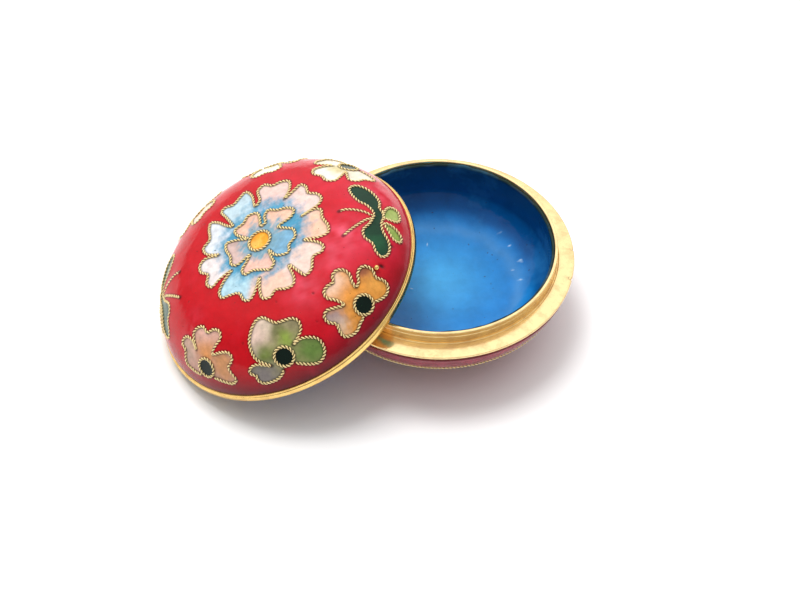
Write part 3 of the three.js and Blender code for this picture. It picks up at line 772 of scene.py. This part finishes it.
add_flower()
for number, name in enumerate(BLOSSOMS, 1):
    add_blossom(name, number)
for number, name in enumerate(BUTTERFLIES, 1):
    add_butterfly(name, number)

line_points = {name: drop(place, curve) for name, place, curve, _ in lines}
near_wire = kdtree.KDTree(sum(len(p) for p in line_points.values()))
for index, point in enumerate(np.vstack(list(line_points.values()))):
    near_wire.insert(point, index)
near_wire.balance()


def dome_grid():
    profile = bun_profile(DOME, DOME_RINGS + 1)
    angle = np.arange(DOME_TURNS) * TAU / DOME_TURNS
    radius, height = profile[1:, 0][:, None], profile[1:, 1][:, None]
    x, y = radius * np.cos(angle), radius * np.sin(angle)
    ring = np.stack([x, y, height + 0 * x], 2).reshape(-1, 3)
    points = np.vstack([[[0, 0, profile[0, 1]]], ring])
    faces = []
    for k in range(DOME_TURNS):
        faces.append((0, 1 + k, 1 + (k + 1) % DOME_TURNS, 1 + (k + 1) % DOME_TURNS))
    for i in range(DOME_RINGS - 1):
        a = 1 + i * DOME_TURNS
        k = np.arange(DOME_TURNS)
        n = (k + 1) % DOME_TURNS
        quads = np.stack([a + k, a + DOME_TURNS + k, a + DOME_TURNS + n, a + n], 1)
        faces += quads.tolist()
    return points, np.array(faces)


def shell_of(points, depth_points, faces):
    """A closed shell: faces of the outer skin, the same of the inner one, and walls between."""
    used = np.unique(faces)
    where = np.full(len(points), -1)
    where[used] = np.arange(len(used))
    top = where[faces]
    count = len(used)
    verts = np.vstack([points[used], depth_points[used]])
    edges = {}
    made = []
    for face in top.tolist():
        ring = list(dict.fromkeys(face))
        made.append(ring)
        made.append([v + count for v in reversed(ring)])
        for a, b in zip(ring, ring[1:] + ring[:1]):
            if (b, a) in edges:
                del edges[(b, a)]
            else:
                edges[(a, b)] = True
    for a, b in edges:
        made.append([b, a, a + count, b + count])
    return verts, made, used


# How the enamel lies against its wires, in millimetres.
SHADE_FROM, SHADE_OVER, SHADE_SHARE = 0.24, 0.15, 0.72
RISE, RISE_OVER = 0.11, 0.55
CELL_SINK, CELL_RISE, CELL_RISE_OVER = -0.17, 0.2, 0.4
GROUND_SINK = 0.03
SKIN_SHARE = 0.9
FADE_FROM, FADE_OVER = 0.3, 1.5
LEAST_FACING = 0.15
PIT_SINK = 0.6
PIT_DARKENING, PIT_DARKEST = 4, 0.93


def edge_shade(gap):
    """Enamel is darker in the narrow line where it meets a wire."""
    return (1 - SHADE_SHARE * bell(np.maximum(gap - SHADE_FROM, 0) / SHADE_OVER))[:, None]


def cell_of_each_face(centres, normals):
    """For each face of the dome, the number of the cell it lies in, or -1 for the ground."""
    owner = np.full(len(centres), -1)
    for index, (_, (origin, x, y, z), polygon, _) in enumerate(cells):
        away = centres - origin
        flat_centres = np.stack([away @ x, away @ y], 1)
        facing = (normals @ z > LEAST_FACING) & (owner < 0)
        owner[inside(flat_centres, polygon) & facing] = index
    return owner


def cell_node(name):
    """The CAD node that a cell stands for."""
    parts = name.split("_tail_")
    return parts[0] + "_tail_enamel_" + parts[1] if len(parts) == 2 else name + "_enamel"


def build_dome():
    flat, faces = dome_grid()
    normals = bun_normal(DOME, flat)
    points = flat + (0, 0, LID_BAND)
    gap = np.array([near_wire.find(p)[2] for p in points.tolist()])
    owner = cell_of_each_face(points[faces].mean(1), normals[faces].mean(1))
    rise = RISE * np.exp(-gap / RISE_OVER)
    ripple = 0.035 * waves(points, 14, 1) + 0.018 * waves(points, 3.5, 2)
    fade = rising(flat[:, 2], FADE_FROM, FADE_OVER)
    pits = pit_depth(points)
    out = (rise + ripple - GROUND_SINK) * fade - PIT_SINK * pits
    ground_skin = points + normals * out[:, None]
    deep = points - normals * GROUND * SKIN_SHARE
    sink = CELL_SINK + CELL_RISE * np.exp(-gap / CELL_RISE_OVER)
    cell_skin = points + normals * (sink * fade)[:, None]
    verts, made, used = shell_of(ground_skin, deep, faces[owner < 0])
    tint = ground_tint(points[used]) * edge_shade(gap[used])
    tint *= (1 - np.clip(pits[used] * PIT_DARKENING, 0, PIT_DARKEST))[:, None]
    make("lid_ground", verts, made, "lid", RED_ENAMEL,
         ["lid_ground_enamel"], np.vstack([tint, tint]))
    for index, (name, (origin, x, y, _), _, paint) in enumerate(cells):
        verts, made, used = shell_of(cell_skin, deep, faces[owner == index])
        away = points[used] - origin
        tint = paint(np.stack([away @ x, away @ y], 1)) * edge_shade(gap[used])
        node = cell_node(name)
        make(name + "_cell", verts, made, "lid", CELL_ENAMEL,
             [node], np.vstack([tint, tint]))


# Pink cloud patches in the red, partly the enamel's own cloudiness and partly painted highlights: place
# across the lid, size and strength.
CLOUDS_AND_HIGHLIGHTS = [(-15.2, 5.5, 3.0, 0.75), (-6.5, 13.5, 2.6, 0.6), (-12.5, 9.5, 2.2, 0.5), (-21, -4, 2.5, 0.5)]
CLOUDS_AND_HIGHLIGHTS += [(-4, -19, 3, 0.35), (15, 10, 2.5, 0.2)]
# Dark dips in the lid's enamel, pits except the one at 149.5 degrees beside the bead, which is only a
# darkened sunken spot: distance from the axis, direction in degrees, size.
PITS = [
    (22.6, 161, 0.32), (19.0, 70, 0.16), (16.8, 118, 0.2), (21.4, 31, 0.2), (15.6, 20, 0.16),
    (18.6, 190, 0.18), (22.3, 149.5, 0.3), (14.2, 96, 0.14), (23.0, 178, 0.2), (20.3, 110, 0.14),
]
GROUND_RED = rgb(192, 6, 22)
# Painted light in the ground: the pink is a painted sheen, the dark is painted shade, and the cloud pink
# is partly a painted highlight.
GROUND_SHEEN_PINK = rgb(226, 52, 84)
GROUND_SHADE = rgb(62, 4, 24)
CLOUD_HIGHLIGHT_PINK = rgb(240, 104, 128)


def pit_depth(points):
    """How deep each point sinks into a pit."""
    depth = np.zeros(len(points))
    for radius, turn, size in PITS:
        x, y = polar(turn, radius)
        away = np.hypot(points[:, 0] - x, points[:, 1] - y) / size
        depth += bell(away) * size
    return depth


def ground_tint(points):
    """Red, a little pinker towards the bowl's side from a painted sheen broken up by cloudiness, and
    darker towards the rim from painted shade.
    """
    side = np.clip(-points[:, 0] / LEDGE_RADIUS, -1, 1)
    toward = np.clip(points[:, 1] / LEDGE_RADIUS, -1, 1)
    low = np.clip((6.5 - points[:, 2]) / 5.5, 0, 1)
    cloud = 0.5 + 0.5 * waves(points, 9, 7)
    # Painted sheen on the bowl's side, and painted shade on the low rim towards one side.
    pink = np.clip(side * 1.5 - 0.1, 0, 1) * cloud
    dark = low * np.clip(toward + 0.2, 0, 1)
    colour = np.ones((len(points), 1)) * GROUND_RED
    colour = colour + (GROUND_SHEEN_PINK - colour) * (0.4 * pink)[:, None]
    rough_cloud = 0.5 + 0.5 * waves(points, 3.4, 8)
    # Pink cloud patches, partly the enamel's own and partly painted highlights.
    for x, y, size, share in CLOUDS_AND_HIGHLIGHTS:
        near = np.exp(-((points[:, 0] - x) ** 2 + (points[:, 1] - y) ** 2) / size**2)
        colour = colour + (CLOUD_HIGHLIGHT_PINK - colour) * (share * near * rough_cloud)[:, None]
    return colour + (GROUND_SHADE - colour) * (0.95 * dark)[:, None]


# Painted shade in the rope's grooves and undersides, and painted light on its strands' tops.
ROPE_SHADE = rgb(48, 20, 6)
ROPE_LIT = rgb(255, 230, 164)


def rope(name, path, normals, closed, body, nodes):
    """Two strands wound round each other along a path that lies on a surface."""
    ahead = np.roll(path, -1, 0) if closed else np.vstack([path[1:], 2 * path[-1] - path[-2]])
    behind = np.roll(path, 1, 0) if closed else np.vstack([2 * path[0] - path[1], path[:-1]])
    along = ahead - behind
    along /= np.linalg.norm(along, axis=1)[:, None]
    across = np.cross(along, normals)
    across /= np.linalg.norm(across, axis=1)[:, None]
    out = np.cross(across, along)
    step = np.linalg.norm(np.diff(path, axis=0), axis=1)
    length = np.concatenate([[0], np.cumsum(step)])
    total = length[-1] + (np.linalg.norm(path[0] - path[-1]) if closed else 0)
    rounds = max(round(total / TWIST), 1) if closed else total / TWIST
    phase = length / total * rounds * TAU
    slant = rounds * TAU / total * STRAND_OFFSET
    verts, faces = [], []
    for strand in range(2):
        turn = phase + strand * math.pi
        radial = np.cos(turn)[:, None] * out + np.sin(turn)[:, None] * across
        sideways = -np.sin(turn)[:, None] * out + np.cos(turn)[:, None] * across
        tangent = along + slant * sideways
        tangent /= np.linalg.norm(tangent, axis=1)[:, None]
        second = np.cross(tangent, radial)
        centre = path + out * ROPE_LIFT + radial * STRAND_OFFSET
        start = len(verts) * ROPE_SIDES
        for s in range(len(path)):
            ring = []
            for k in range(ROPE_SIDES):
                a = TAU * k / ROPE_SIDES
                ring.append(centre[s] + STRAND * (math.cos(a) * radial[s] + math.sin(a) * second[s]))
            verts.append(ring)
        spans = len(path) if closed else len(path) - 1
        for s in range(spans):
            a = start + s * ROPE_SIDES
            b = start + ((s + 1) % len(path)) * ROPE_SIDES
            for k in range(ROPE_SIDES):
                n = (k + 1) % ROPE_SIDES
                faces.append([a + k, a + n, b + n, b + k])
        if not closed:
            end = start + (len(path) - 1) * ROPE_SIDES
            faces.append([start + k for k in reversed(range(ROPE_SIDES))])
            faces.append([end + k for k in range(ROPE_SIDES)])
    verts = np.array(verts).reshape(-1, 3)
    # Painted light: dark in the groove between the strands and on their undersides, lit on their tops and
    # outer sides.
    middle = np.repeat(np.vstack([path + out * ROPE_LIFT] * 2), ROPE_SIDES, 0)
    away = verts - middle
    upward = (away * np.repeat(np.vstack([out] * 2), ROPE_SIDES, 0)).sum(1)
    outer = rising(np.linalg.norm(away, axis=1), GROOVE_FROM, GROOVE_OVER)
    lit_share = (outer * np.clip((upward + 0.04) / 0.2, 0, 1))[:, None]
    tint = mix(ROPE_SHADE, ROPE_LIT, lit_share)
    make(name, verts, faces, body, WIRE, nodes, tint)


SHORT_LINE = 30  # points


def build_ropes():
    for name, _, _, closed in lines:
        path = line_points[name]
        coarse = path[::3] if len(path) > SHORT_LINE else path
        even = smooth_curve(coarse, closed, ROPE_STEP)
        normals = bun_normal(DOME, even - (0, 0, LID_BAND))
        rope(name + "_rope", even, normals, closed, "lid", [name])


def ball(radius, rings=16, turns=24):
    profile = [(radius * math.sin(math.pi * i / rings), radius * math.cos(math.pi * i / rings))
               for i in range(rings + 1)]
    profile[0], profile[-1] = (0, radius), (0, -radius)
    return lathe(profile, turns)


BEAD_PLACE = (21.8, 147)
BEAD_RADIUS = 0.45
BEAD_RISE = 0.5


def build_bead():
    origin, _, _, out = motif_frame(*BEAD_PLACE)
    verts, faces = ball(BEAD_RADIUS)
    make("bead", verts + origin + out * BEAD_RISE, faces, "lid", GILT, ["gilt_bead"])


def build_lid_body():
    band = [(LID_BORE, 0), (LID_RADIUS, 0), (LID_RADIUS, 0.98), (24.42, 1.12), (24.46, LID_BAND),
            (23.9, LID_BAND), (23.9, LID_SEAT), (LID_BORE, LID_SEAT)]
    verts, faces = lathe(round_corners(band, [0.15, 0.3, 0.18, 0.1, 0.12, 0.05, 0.02, 0.15]), FINE_TURNS)
    make("lid_band", verts, faces, "lid", GILT, ["lid_rim_band"])
    copper = skin(DOME, COPPER_AT)
    verts, faces = lathe(cap_profile(copper, skin(copper, COPPER), LID_BAND, LID_SEAT + SEAM))
    make("lid_copper", verts, faces, "lid", COPPER_LOOK, ["lid_copper_dome"])
    lining = skin(DOME, LINING_AT)
    verts, faces = lathe(cap_profile(lining, skin(lining, LINING), LID_BAND, LID_SEAT + SEAM))
    wobble = 0.05 * waves(verts, 8, 21)
    verts[:, 2] += wobble * (verts[:, 2] > 3)
    make("lid_lining", verts, faces, "lid", LID_BLUE, ["lid_lining_enamel"])


# Nicks in the ledge: direction in degrees, size.
NICKS = [(4, 0.2), (-13, 0.26), (-49, 0.12), (131, 0.18)]


def nicked(verts, radius, low):
    """Small dents in an outer edge, by direction in degrees and size."""
    verts = verts.copy()
    turn = np.degrees(np.arctan2(verts[:, 1], verts[:, 0]))
    reach = np.hypot(verts[:, 0], verts[:, 1])
    for direction, size in NICKS:
        apart = np.radians((turn - direction + 180) % 360 - 180) * radius
        edge = bell(apart / size) * np.clip((reach - radius + 0.75) / 0.3, 0, 1)
        edge *= verts[:, 2] > low
        scale = 1 - edge * size * 0.8 / radius
        verts[:, 0] *= scale
        verts[:, 1] *= scale
        verts[:, 2] -= edge * size * 0.5
    return verts


NECK_SKIN = NECK_RADIUS - 0.02
GROOVE_STEP = 0.07
GROOVE_DEPTH = 0.035
GROOVE_PITCH = 0.43
GROOVE_BEAT = 1.9
FOOT_GAP = 0.12


def rim_profile():
    """The ledge with its slight slope, the turned neck and its rounded lip."""
    bore = NECK_RADIUS - NECK_WALL
    rim = [
        (bore, LEDGE_UNDERSIDE), (LEDGE_RADIUS - 0.5, LEDGE_UNDERSIDE),
        (LEDGE_RADIUS, LEDGE_HEIGHT - 0.1), (LEDGE_RADIUS - 0.04, LEDGE_HEIGHT + 0.18),
        (LEDGE_RADIUS - 0.5, LEDGE_HEIGHT + 0.28), (NECK_RADIUS + 0.3, LEDGE_HEIGHT + 0.56),
        (NECK_RADIUS + 0.14, LEDGE_HEIGHT + 0.36),
    ]
    profile = list(round_corners(rim, [0, 0.1, 0.1, 0.12, 0.3, 0.06, 0], 5))
    for height in np.arange(LEDGE_HEIGHT + 0.44, NECK_TOP - 0.3, GROOVE_STEP):
        groove = math.sin(height * TAU / GROOVE_PITCH) * math.sin(height * TAU / GROOVE_BEAT + 1)
        profile.append((NECK_SKIN - GROOVE_DEPTH * (0.5 + 0.5 * groove), height))
    lip = [(NECK_SKIN, NECK_TOP - 0.28), (NECK_SKIN, NECK_TOP), (bore, NECK_TOP), (bore, 15)]
    return profile + list(round_corners(lip, [0, 0.26, 0.2, 0], 5))


def layer(outer, inner):
    """A thin turned layer hung under the ledge, between two profiles."""
    return np.vstack([hang(outer), hang(inner)[::-1]])


def within(profile, radius):
    return profile[profile[:, 0] < radius]


def build_bowl_body():
    verts, faces = lathe(rim_profile(), RIM_TURNS)
    verts = nicked(verts, LEDGE_RADIUS, LEDGE_UNDERSIDE + 0.2)
    make("bowl_rim", verts, faces, "bowl", GILT_TURNED, ["bowl_rim_and_neck"])
    copper = skin(BOWL, COPPER_AT)
    verts, faces = lathe(layer(bun_profile(copper), bun_profile(skin(copper, COPPER))))
    make("bowl_copper", verts, faces, "bowl", COPPER_LOOK, ["bowl_copper_shell"])
    ground = skin(BOWL, GROUND)
    start = FOOT_OUTER + FOOT_GAP
    verts, faces = lathe(layer(bun_profile(BOWL, 90, start), bun_profile(ground, 90, start)), FINE_TURNS)
    make("bowl_ground", verts, faces, "bowl", BOWL_RED_WITH_SHEEN, ["bowl_ground_enamel"])
    end = FOOT_INNER - FOOT_GAP
    under, over = (within(bun_profile(bun, 200), end) for bun in (BOWL, ground))
    verts, faces = lathe(layer(under, over))
    make("bowl_underside", verts, faces, "bowl", LID_BLUE,
         ["bowl_underside_enamel"])
    seat = [LEDGE_UNDERSIDE - 2 * SEAM - float(bun_height(ground, r)) for r in (FOOT_OUTER, FOOT_INNER)]
    foot = [(FOOT_INNER, 0), (FOOT_OUTER, 0), (FOOT_OUTER, seat[0]), (FOOT_INNER, seat[1])]
    verts, faces = lathe(round_corners(foot, [0.3, 0.3, 0, 0]))
    make("bowl_foot", verts, faces, "bowl", GILT, ["bowl_foot_ring"])


def build_belt():
    share = (BELT_DEPTH / BOWL["height"]) ** BOWL["shoulder"]
    radius = BOWL["radius"] * (1 - share) ** (1 / BOWL["flatness"])
    count = int(TAU * radius / ROPE_STEP)
    angle = np.arange(count) * TAU / count
    height = LEDGE_UNDERSIDE - SEAM - BELT_DEPTH
    path = np.stack([radius * np.cos(angle), radius * np.sin(angle), np.full(count, height)], 1)
    normals = np.stack([np.cos(angle), np.sin(angle), np.full(count, -0.6)], 1)
    normals /= np.linalg.norm(normals, axis=1)[:, None]
    rope("bowl_belt_rope", path, normals, True, "bowl", ["bowl_belt_wire"])


# Small craters left by bubbles: direction in degrees, distance from the axis, size.
CRATERS = [
    (21, 16, 0.34), (6, 15, 0.34), (47, 16.6, 0.24), (170, 4.7, 0.28), (36, 16, 0.2),
    (18, 14.2, 0.2), (100, 11.5, 0.2), (-64, 14.2, 0.22), (215, 15.8, 0.3),
]
CRATERS_BELOW = 10  # no crater reaches up the wall beyond this height


def dimpled(verts):
    """Sinks a shallow crater with a raised lip at each bubble."""
    verts = verts.copy()
    for turn, reach, size in CRATERS:
        away = np.linalg.norm(verts[:, :2] - polar(turn, reach), axis=1) / size
        lip = 0.22 * np.exp(-((away - 1) ** 2) * 4)
        hollow = 0.3 * np.exp(-(away**2) * 3)
        verts[:, 2] += (verts[:, 2] < CRATERS_BELOW) * size * (lip - hollow)
    return verts


TURN_OVER = 5
TURN_IN = 0.1


def soft_turn(inner, wall_radius):
    """The bowl's floor below the wall, drawn in a little where the two meet."""
    kept = inner[inner[:, 0] < wall_radius - 0.05].copy()
    near = rising(kept[:, 0], wall_radius - TURN_OVER, TURN_OVER)
    kept[:, 0] -= TURN_IN * near**2
    return kept


LINING_TOP = NECK_TOP - 0.35
# Waves of the upper edge: height, how many round the bowl, start.
RAGGED_EDGE = ((0.1, 5, 1), (0.07, 13, 2), (0.06, 29, 0.4), (0.05, 47, 2.2))
# Painted light in the lining: the wall blues are painted shade, darker towards the top; the floor blue is
# lit, with a painted highlight in the middle and a paler ring of painted reflection.
SHADED_WALL_LOW, SHADED_WALL_TOP = rgb(4, 84, 150), rgb(8, 46, 92)
LIT_FLOOR_BLUE, FLOOR_HIGHLIGHT, FLOOR_REFLECTION_RING = rgb(8, 122, 198), rgb(66, 166, 226), rgb(104, 158, 204)
LINING_EDGE = rgb(14, 40, 34)
# Painted glints on the crater lips.
CRATER_GLINT = rgb(196, 226, 246)


def lining_profile():
    """The lining's floor, its upright wall inside the neck and its rounded upper edge."""
    body = skin(BOWL, LINING_AT)
    outer_radius = NECK_RADIUS - NECK_WALL - SEAM
    inner_radius = outer_radius - LINING
    outside = hang(bun_profile(body, 60))
    floor = soft_turn(hang(bun_profile(skin(body, LINING), 60))[::-1], inner_radius)
    sleeve = [(outer_radius, LEDGE_UNDERSIDE - SEAM), (outer_radius, LINING_TOP)]
    corner = [(outer_radius - 0.1, LINING_TOP + 0.02), (inner_radius + 0.12, LINING_TOP - 0.1),
              (inner_radius, LINING_TOP - 0.4)]
    wall = [(inner_radius, z) for z in np.linspace(LINING_TOP - 0.7, floor[0][1] + 0.3, 12)]
    return np.vstack([outside, sleeve, corner, wall, floor])


def uneven(verts):
    """A ragged upper edge, a floor that isn't quite flat, and the craters."""
    turn = np.arctan2(verts[:, 1], verts[:, 0])
    edge = rising(verts[:, 2], LINING_TOP - 0.5, 0.5)
    ragged = sum(a * np.sin(f * turn + p) for a, f, p in RAGGED_EDGE)
    verts[:, 2] += edge * (ragged - 0.1)
    verts[:, 2] += 0.04 * waves(verts, 9, 11) * (verts[:, 2] < 8)
    return dimpled(verts)


def lining_tint(verts):
    """Floor lit bright with a painted highlight in its middle and a paler ring of painted reflection
    round it, wall in painted shade that darkens towards the top, darker upper edge, and painted glints on
    the crater lips.
    """
    reach = np.hypot(verts[:, 0], verts[:, 1]) + 0.35 * waves(verts, 5, 12)
    on_wall = eased(rising(reach, 15.4, 2.6))[:, None]
    height = rising(verts[:, 2], 6, 10)[:, None]
    wall = mix(SHADED_WALL_LOW, SHADED_WALL_TOP, height)
    middle = bell(np.hypot(verts[:, 0], verts[:, 1] - 3) / 8)[:, None]
    ring = (0.28 * bell((reach - 14.6) / 1.1))[:, None]
    floor = mix(mix(LIT_FLOOR_BLUE, FLOOR_HIGHLIGHT, middle), FLOOR_REFLECTION_RING, ring)
    tint = mix(floor, wall, on_wall)
    tint = mix(tint, LINING_EDGE, rising(verts[:, 2], LINING_TOP - 0.55, 0.35)[:, None])
    # Painted glints on one side of each crater's lip.
    for turn, distance, size in CRATERS:
        offset = (verts[:, :2] - polar(turn, distance)) / size
        lit = np.clip(offset[:, 0] * 0.7 + offset[:, 1] + 0.3, 0, 1) * (verts[:, 2] < CRATERS_BELOW)
        lip = (0.85 * np.exp(-((np.linalg.norm(offset, axis=1) - 0.9) ** 2) * 9) * lit)[:, None]
        tint = mix(tint, CRATER_GLINT, lip)
    return tint


def build_bowl_lining():
    verts, faces = lathe(lining_profile(), FINE_TURNS)
    verts = uneven(verts)
    make("bowl_lining", verts, faces, "bowl", BLUE_ENAMEL,
         ["bowl_lining_enamel"], lining_tint(verts))


build_dome()
build_ropes()
build_bead()
build_lid_body()
build_bowl_body()
build_belt()
build_bowl_lining()


# ---- Stage, light and camera ----


FLOOR_HALF = 1.2
GLOW_TOWARD = (-0.12, 0.45, 0.88)
GLOW = (("From Min", 0.3), ("From Max", 0.98), ("To Min", 0.44), ("To Max", 1.42))
KEY_PLACE = (-0.12, 0.13, 0.66)
KEY_SIZE = 0.3
KEY_POWER = 2.5
LENS = 97.65
SENSOR = 36
NEAREST = 0.01
CAMERA_FROM_BOWL = (-0.00663, -0.2606)
CAMERA_HEIGHT = 0.2936
CAMERA_ELEVATION = 48.28
CAMERA_ROLL = 0.015


def stage():
    mesh = bpy.data.meshes.new("floor")
    half = FLOOR_HALF
    corners = [(-half, -half, 0), (half, -half, 0), (half, half, 0), (-half, half, 0)]
    mesh.from_pydata(corners, [], [(0, 1, 2, 3)])
    floor = bpy.data.objects.new("floor", mesh)
    bpy.context.scene.collection.objects.link(floor)
    material, _, shader = nodes_of("floor")
    shader.inputs["Base Color"].default_value = (0.97, 0.97, 0.97, 1)
    shader.inputs["Roughness"].default_value = 0.6
    mesh.materials.append(material)


def area(name, place, target, size, power):
    data = bpy.data.lights.new(name, "AREA")
    data.shape = "RECTANGLE"
    data.size, data.size_y = size, size
    data.energy = power
    lamp = bpy.data.objects.new(name, data)
    lamp.location = place
    lamp.rotation_euler = (Vector(target) - Vector(place)).to_track_quat("-Z", "Y").to_euler()
    lamp.visible_glossy = False
    bpy.context.scene.collection.objects.link(lamp)


def lights():
    """A white room that grows brighter upwards and to the back, and one soft key light."""
    world = bpy.data.worlds.new("studio")
    world.use_nodes = True
    tree = world.node_tree
    where = tree.nodes.new("ShaderNodeTexCoord")
    toward = tree.nodes.new("ShaderNodeVectorMath")
    toward.operation = "DOT_PRODUCT"
    toward.inputs[1].default_value = Vector(GLOW_TOWARD).normalized()
    link(tree, where, "Generated", toward, "Vector")
    glow = tree.nodes.new("ShaderNodeMapRange")
    glow.interpolation_type = "SMOOTHSTEP"
    for socket, value in GLOW:
        glow.inputs[socket].default_value = value
    link(tree, toward, "Value", glow, "Value")
    background = tree.nodes["Background"]
    background.inputs["Color"].default_value = (1, 1, 1, 1)
    link(tree, glow, "Result", background, "Strength")
    bpy.context.scene.world = world
    area("key", KEY_PLACE, (0, 0, 0), KEY_SIZE, KEY_POWER)


def camera():
    data = bpy.data.cameras.new("camera")
    data.lens = LENS
    data.sensor_width = SENSOR
    data.clip_start = NEAREST
    seen = bpy.data.objects.new("camera", data)
    axis = PLACES["bowl"].translation
    across, back = CAMERA_FROM_BOWL
    place = Vector((axis.x + across, axis.y + back, CAMERA_HEIGHT))
    tilt = Matrix.Rotation(math.radians(90 - CAMERA_ELEVATION), 4, "X")
    turned = tilt @ Matrix.Rotation(CAMERA_ROLL, 4, "Z")
    seen.matrix_world = Matrix.Translation(place) @ turned
    bpy.context.scene.collection.objects.link(seen)
    bpy.context.scene.camera = seen


stage()
lights()
camera()
bpy.context.scene.view_settings.view_transform = "Standard"
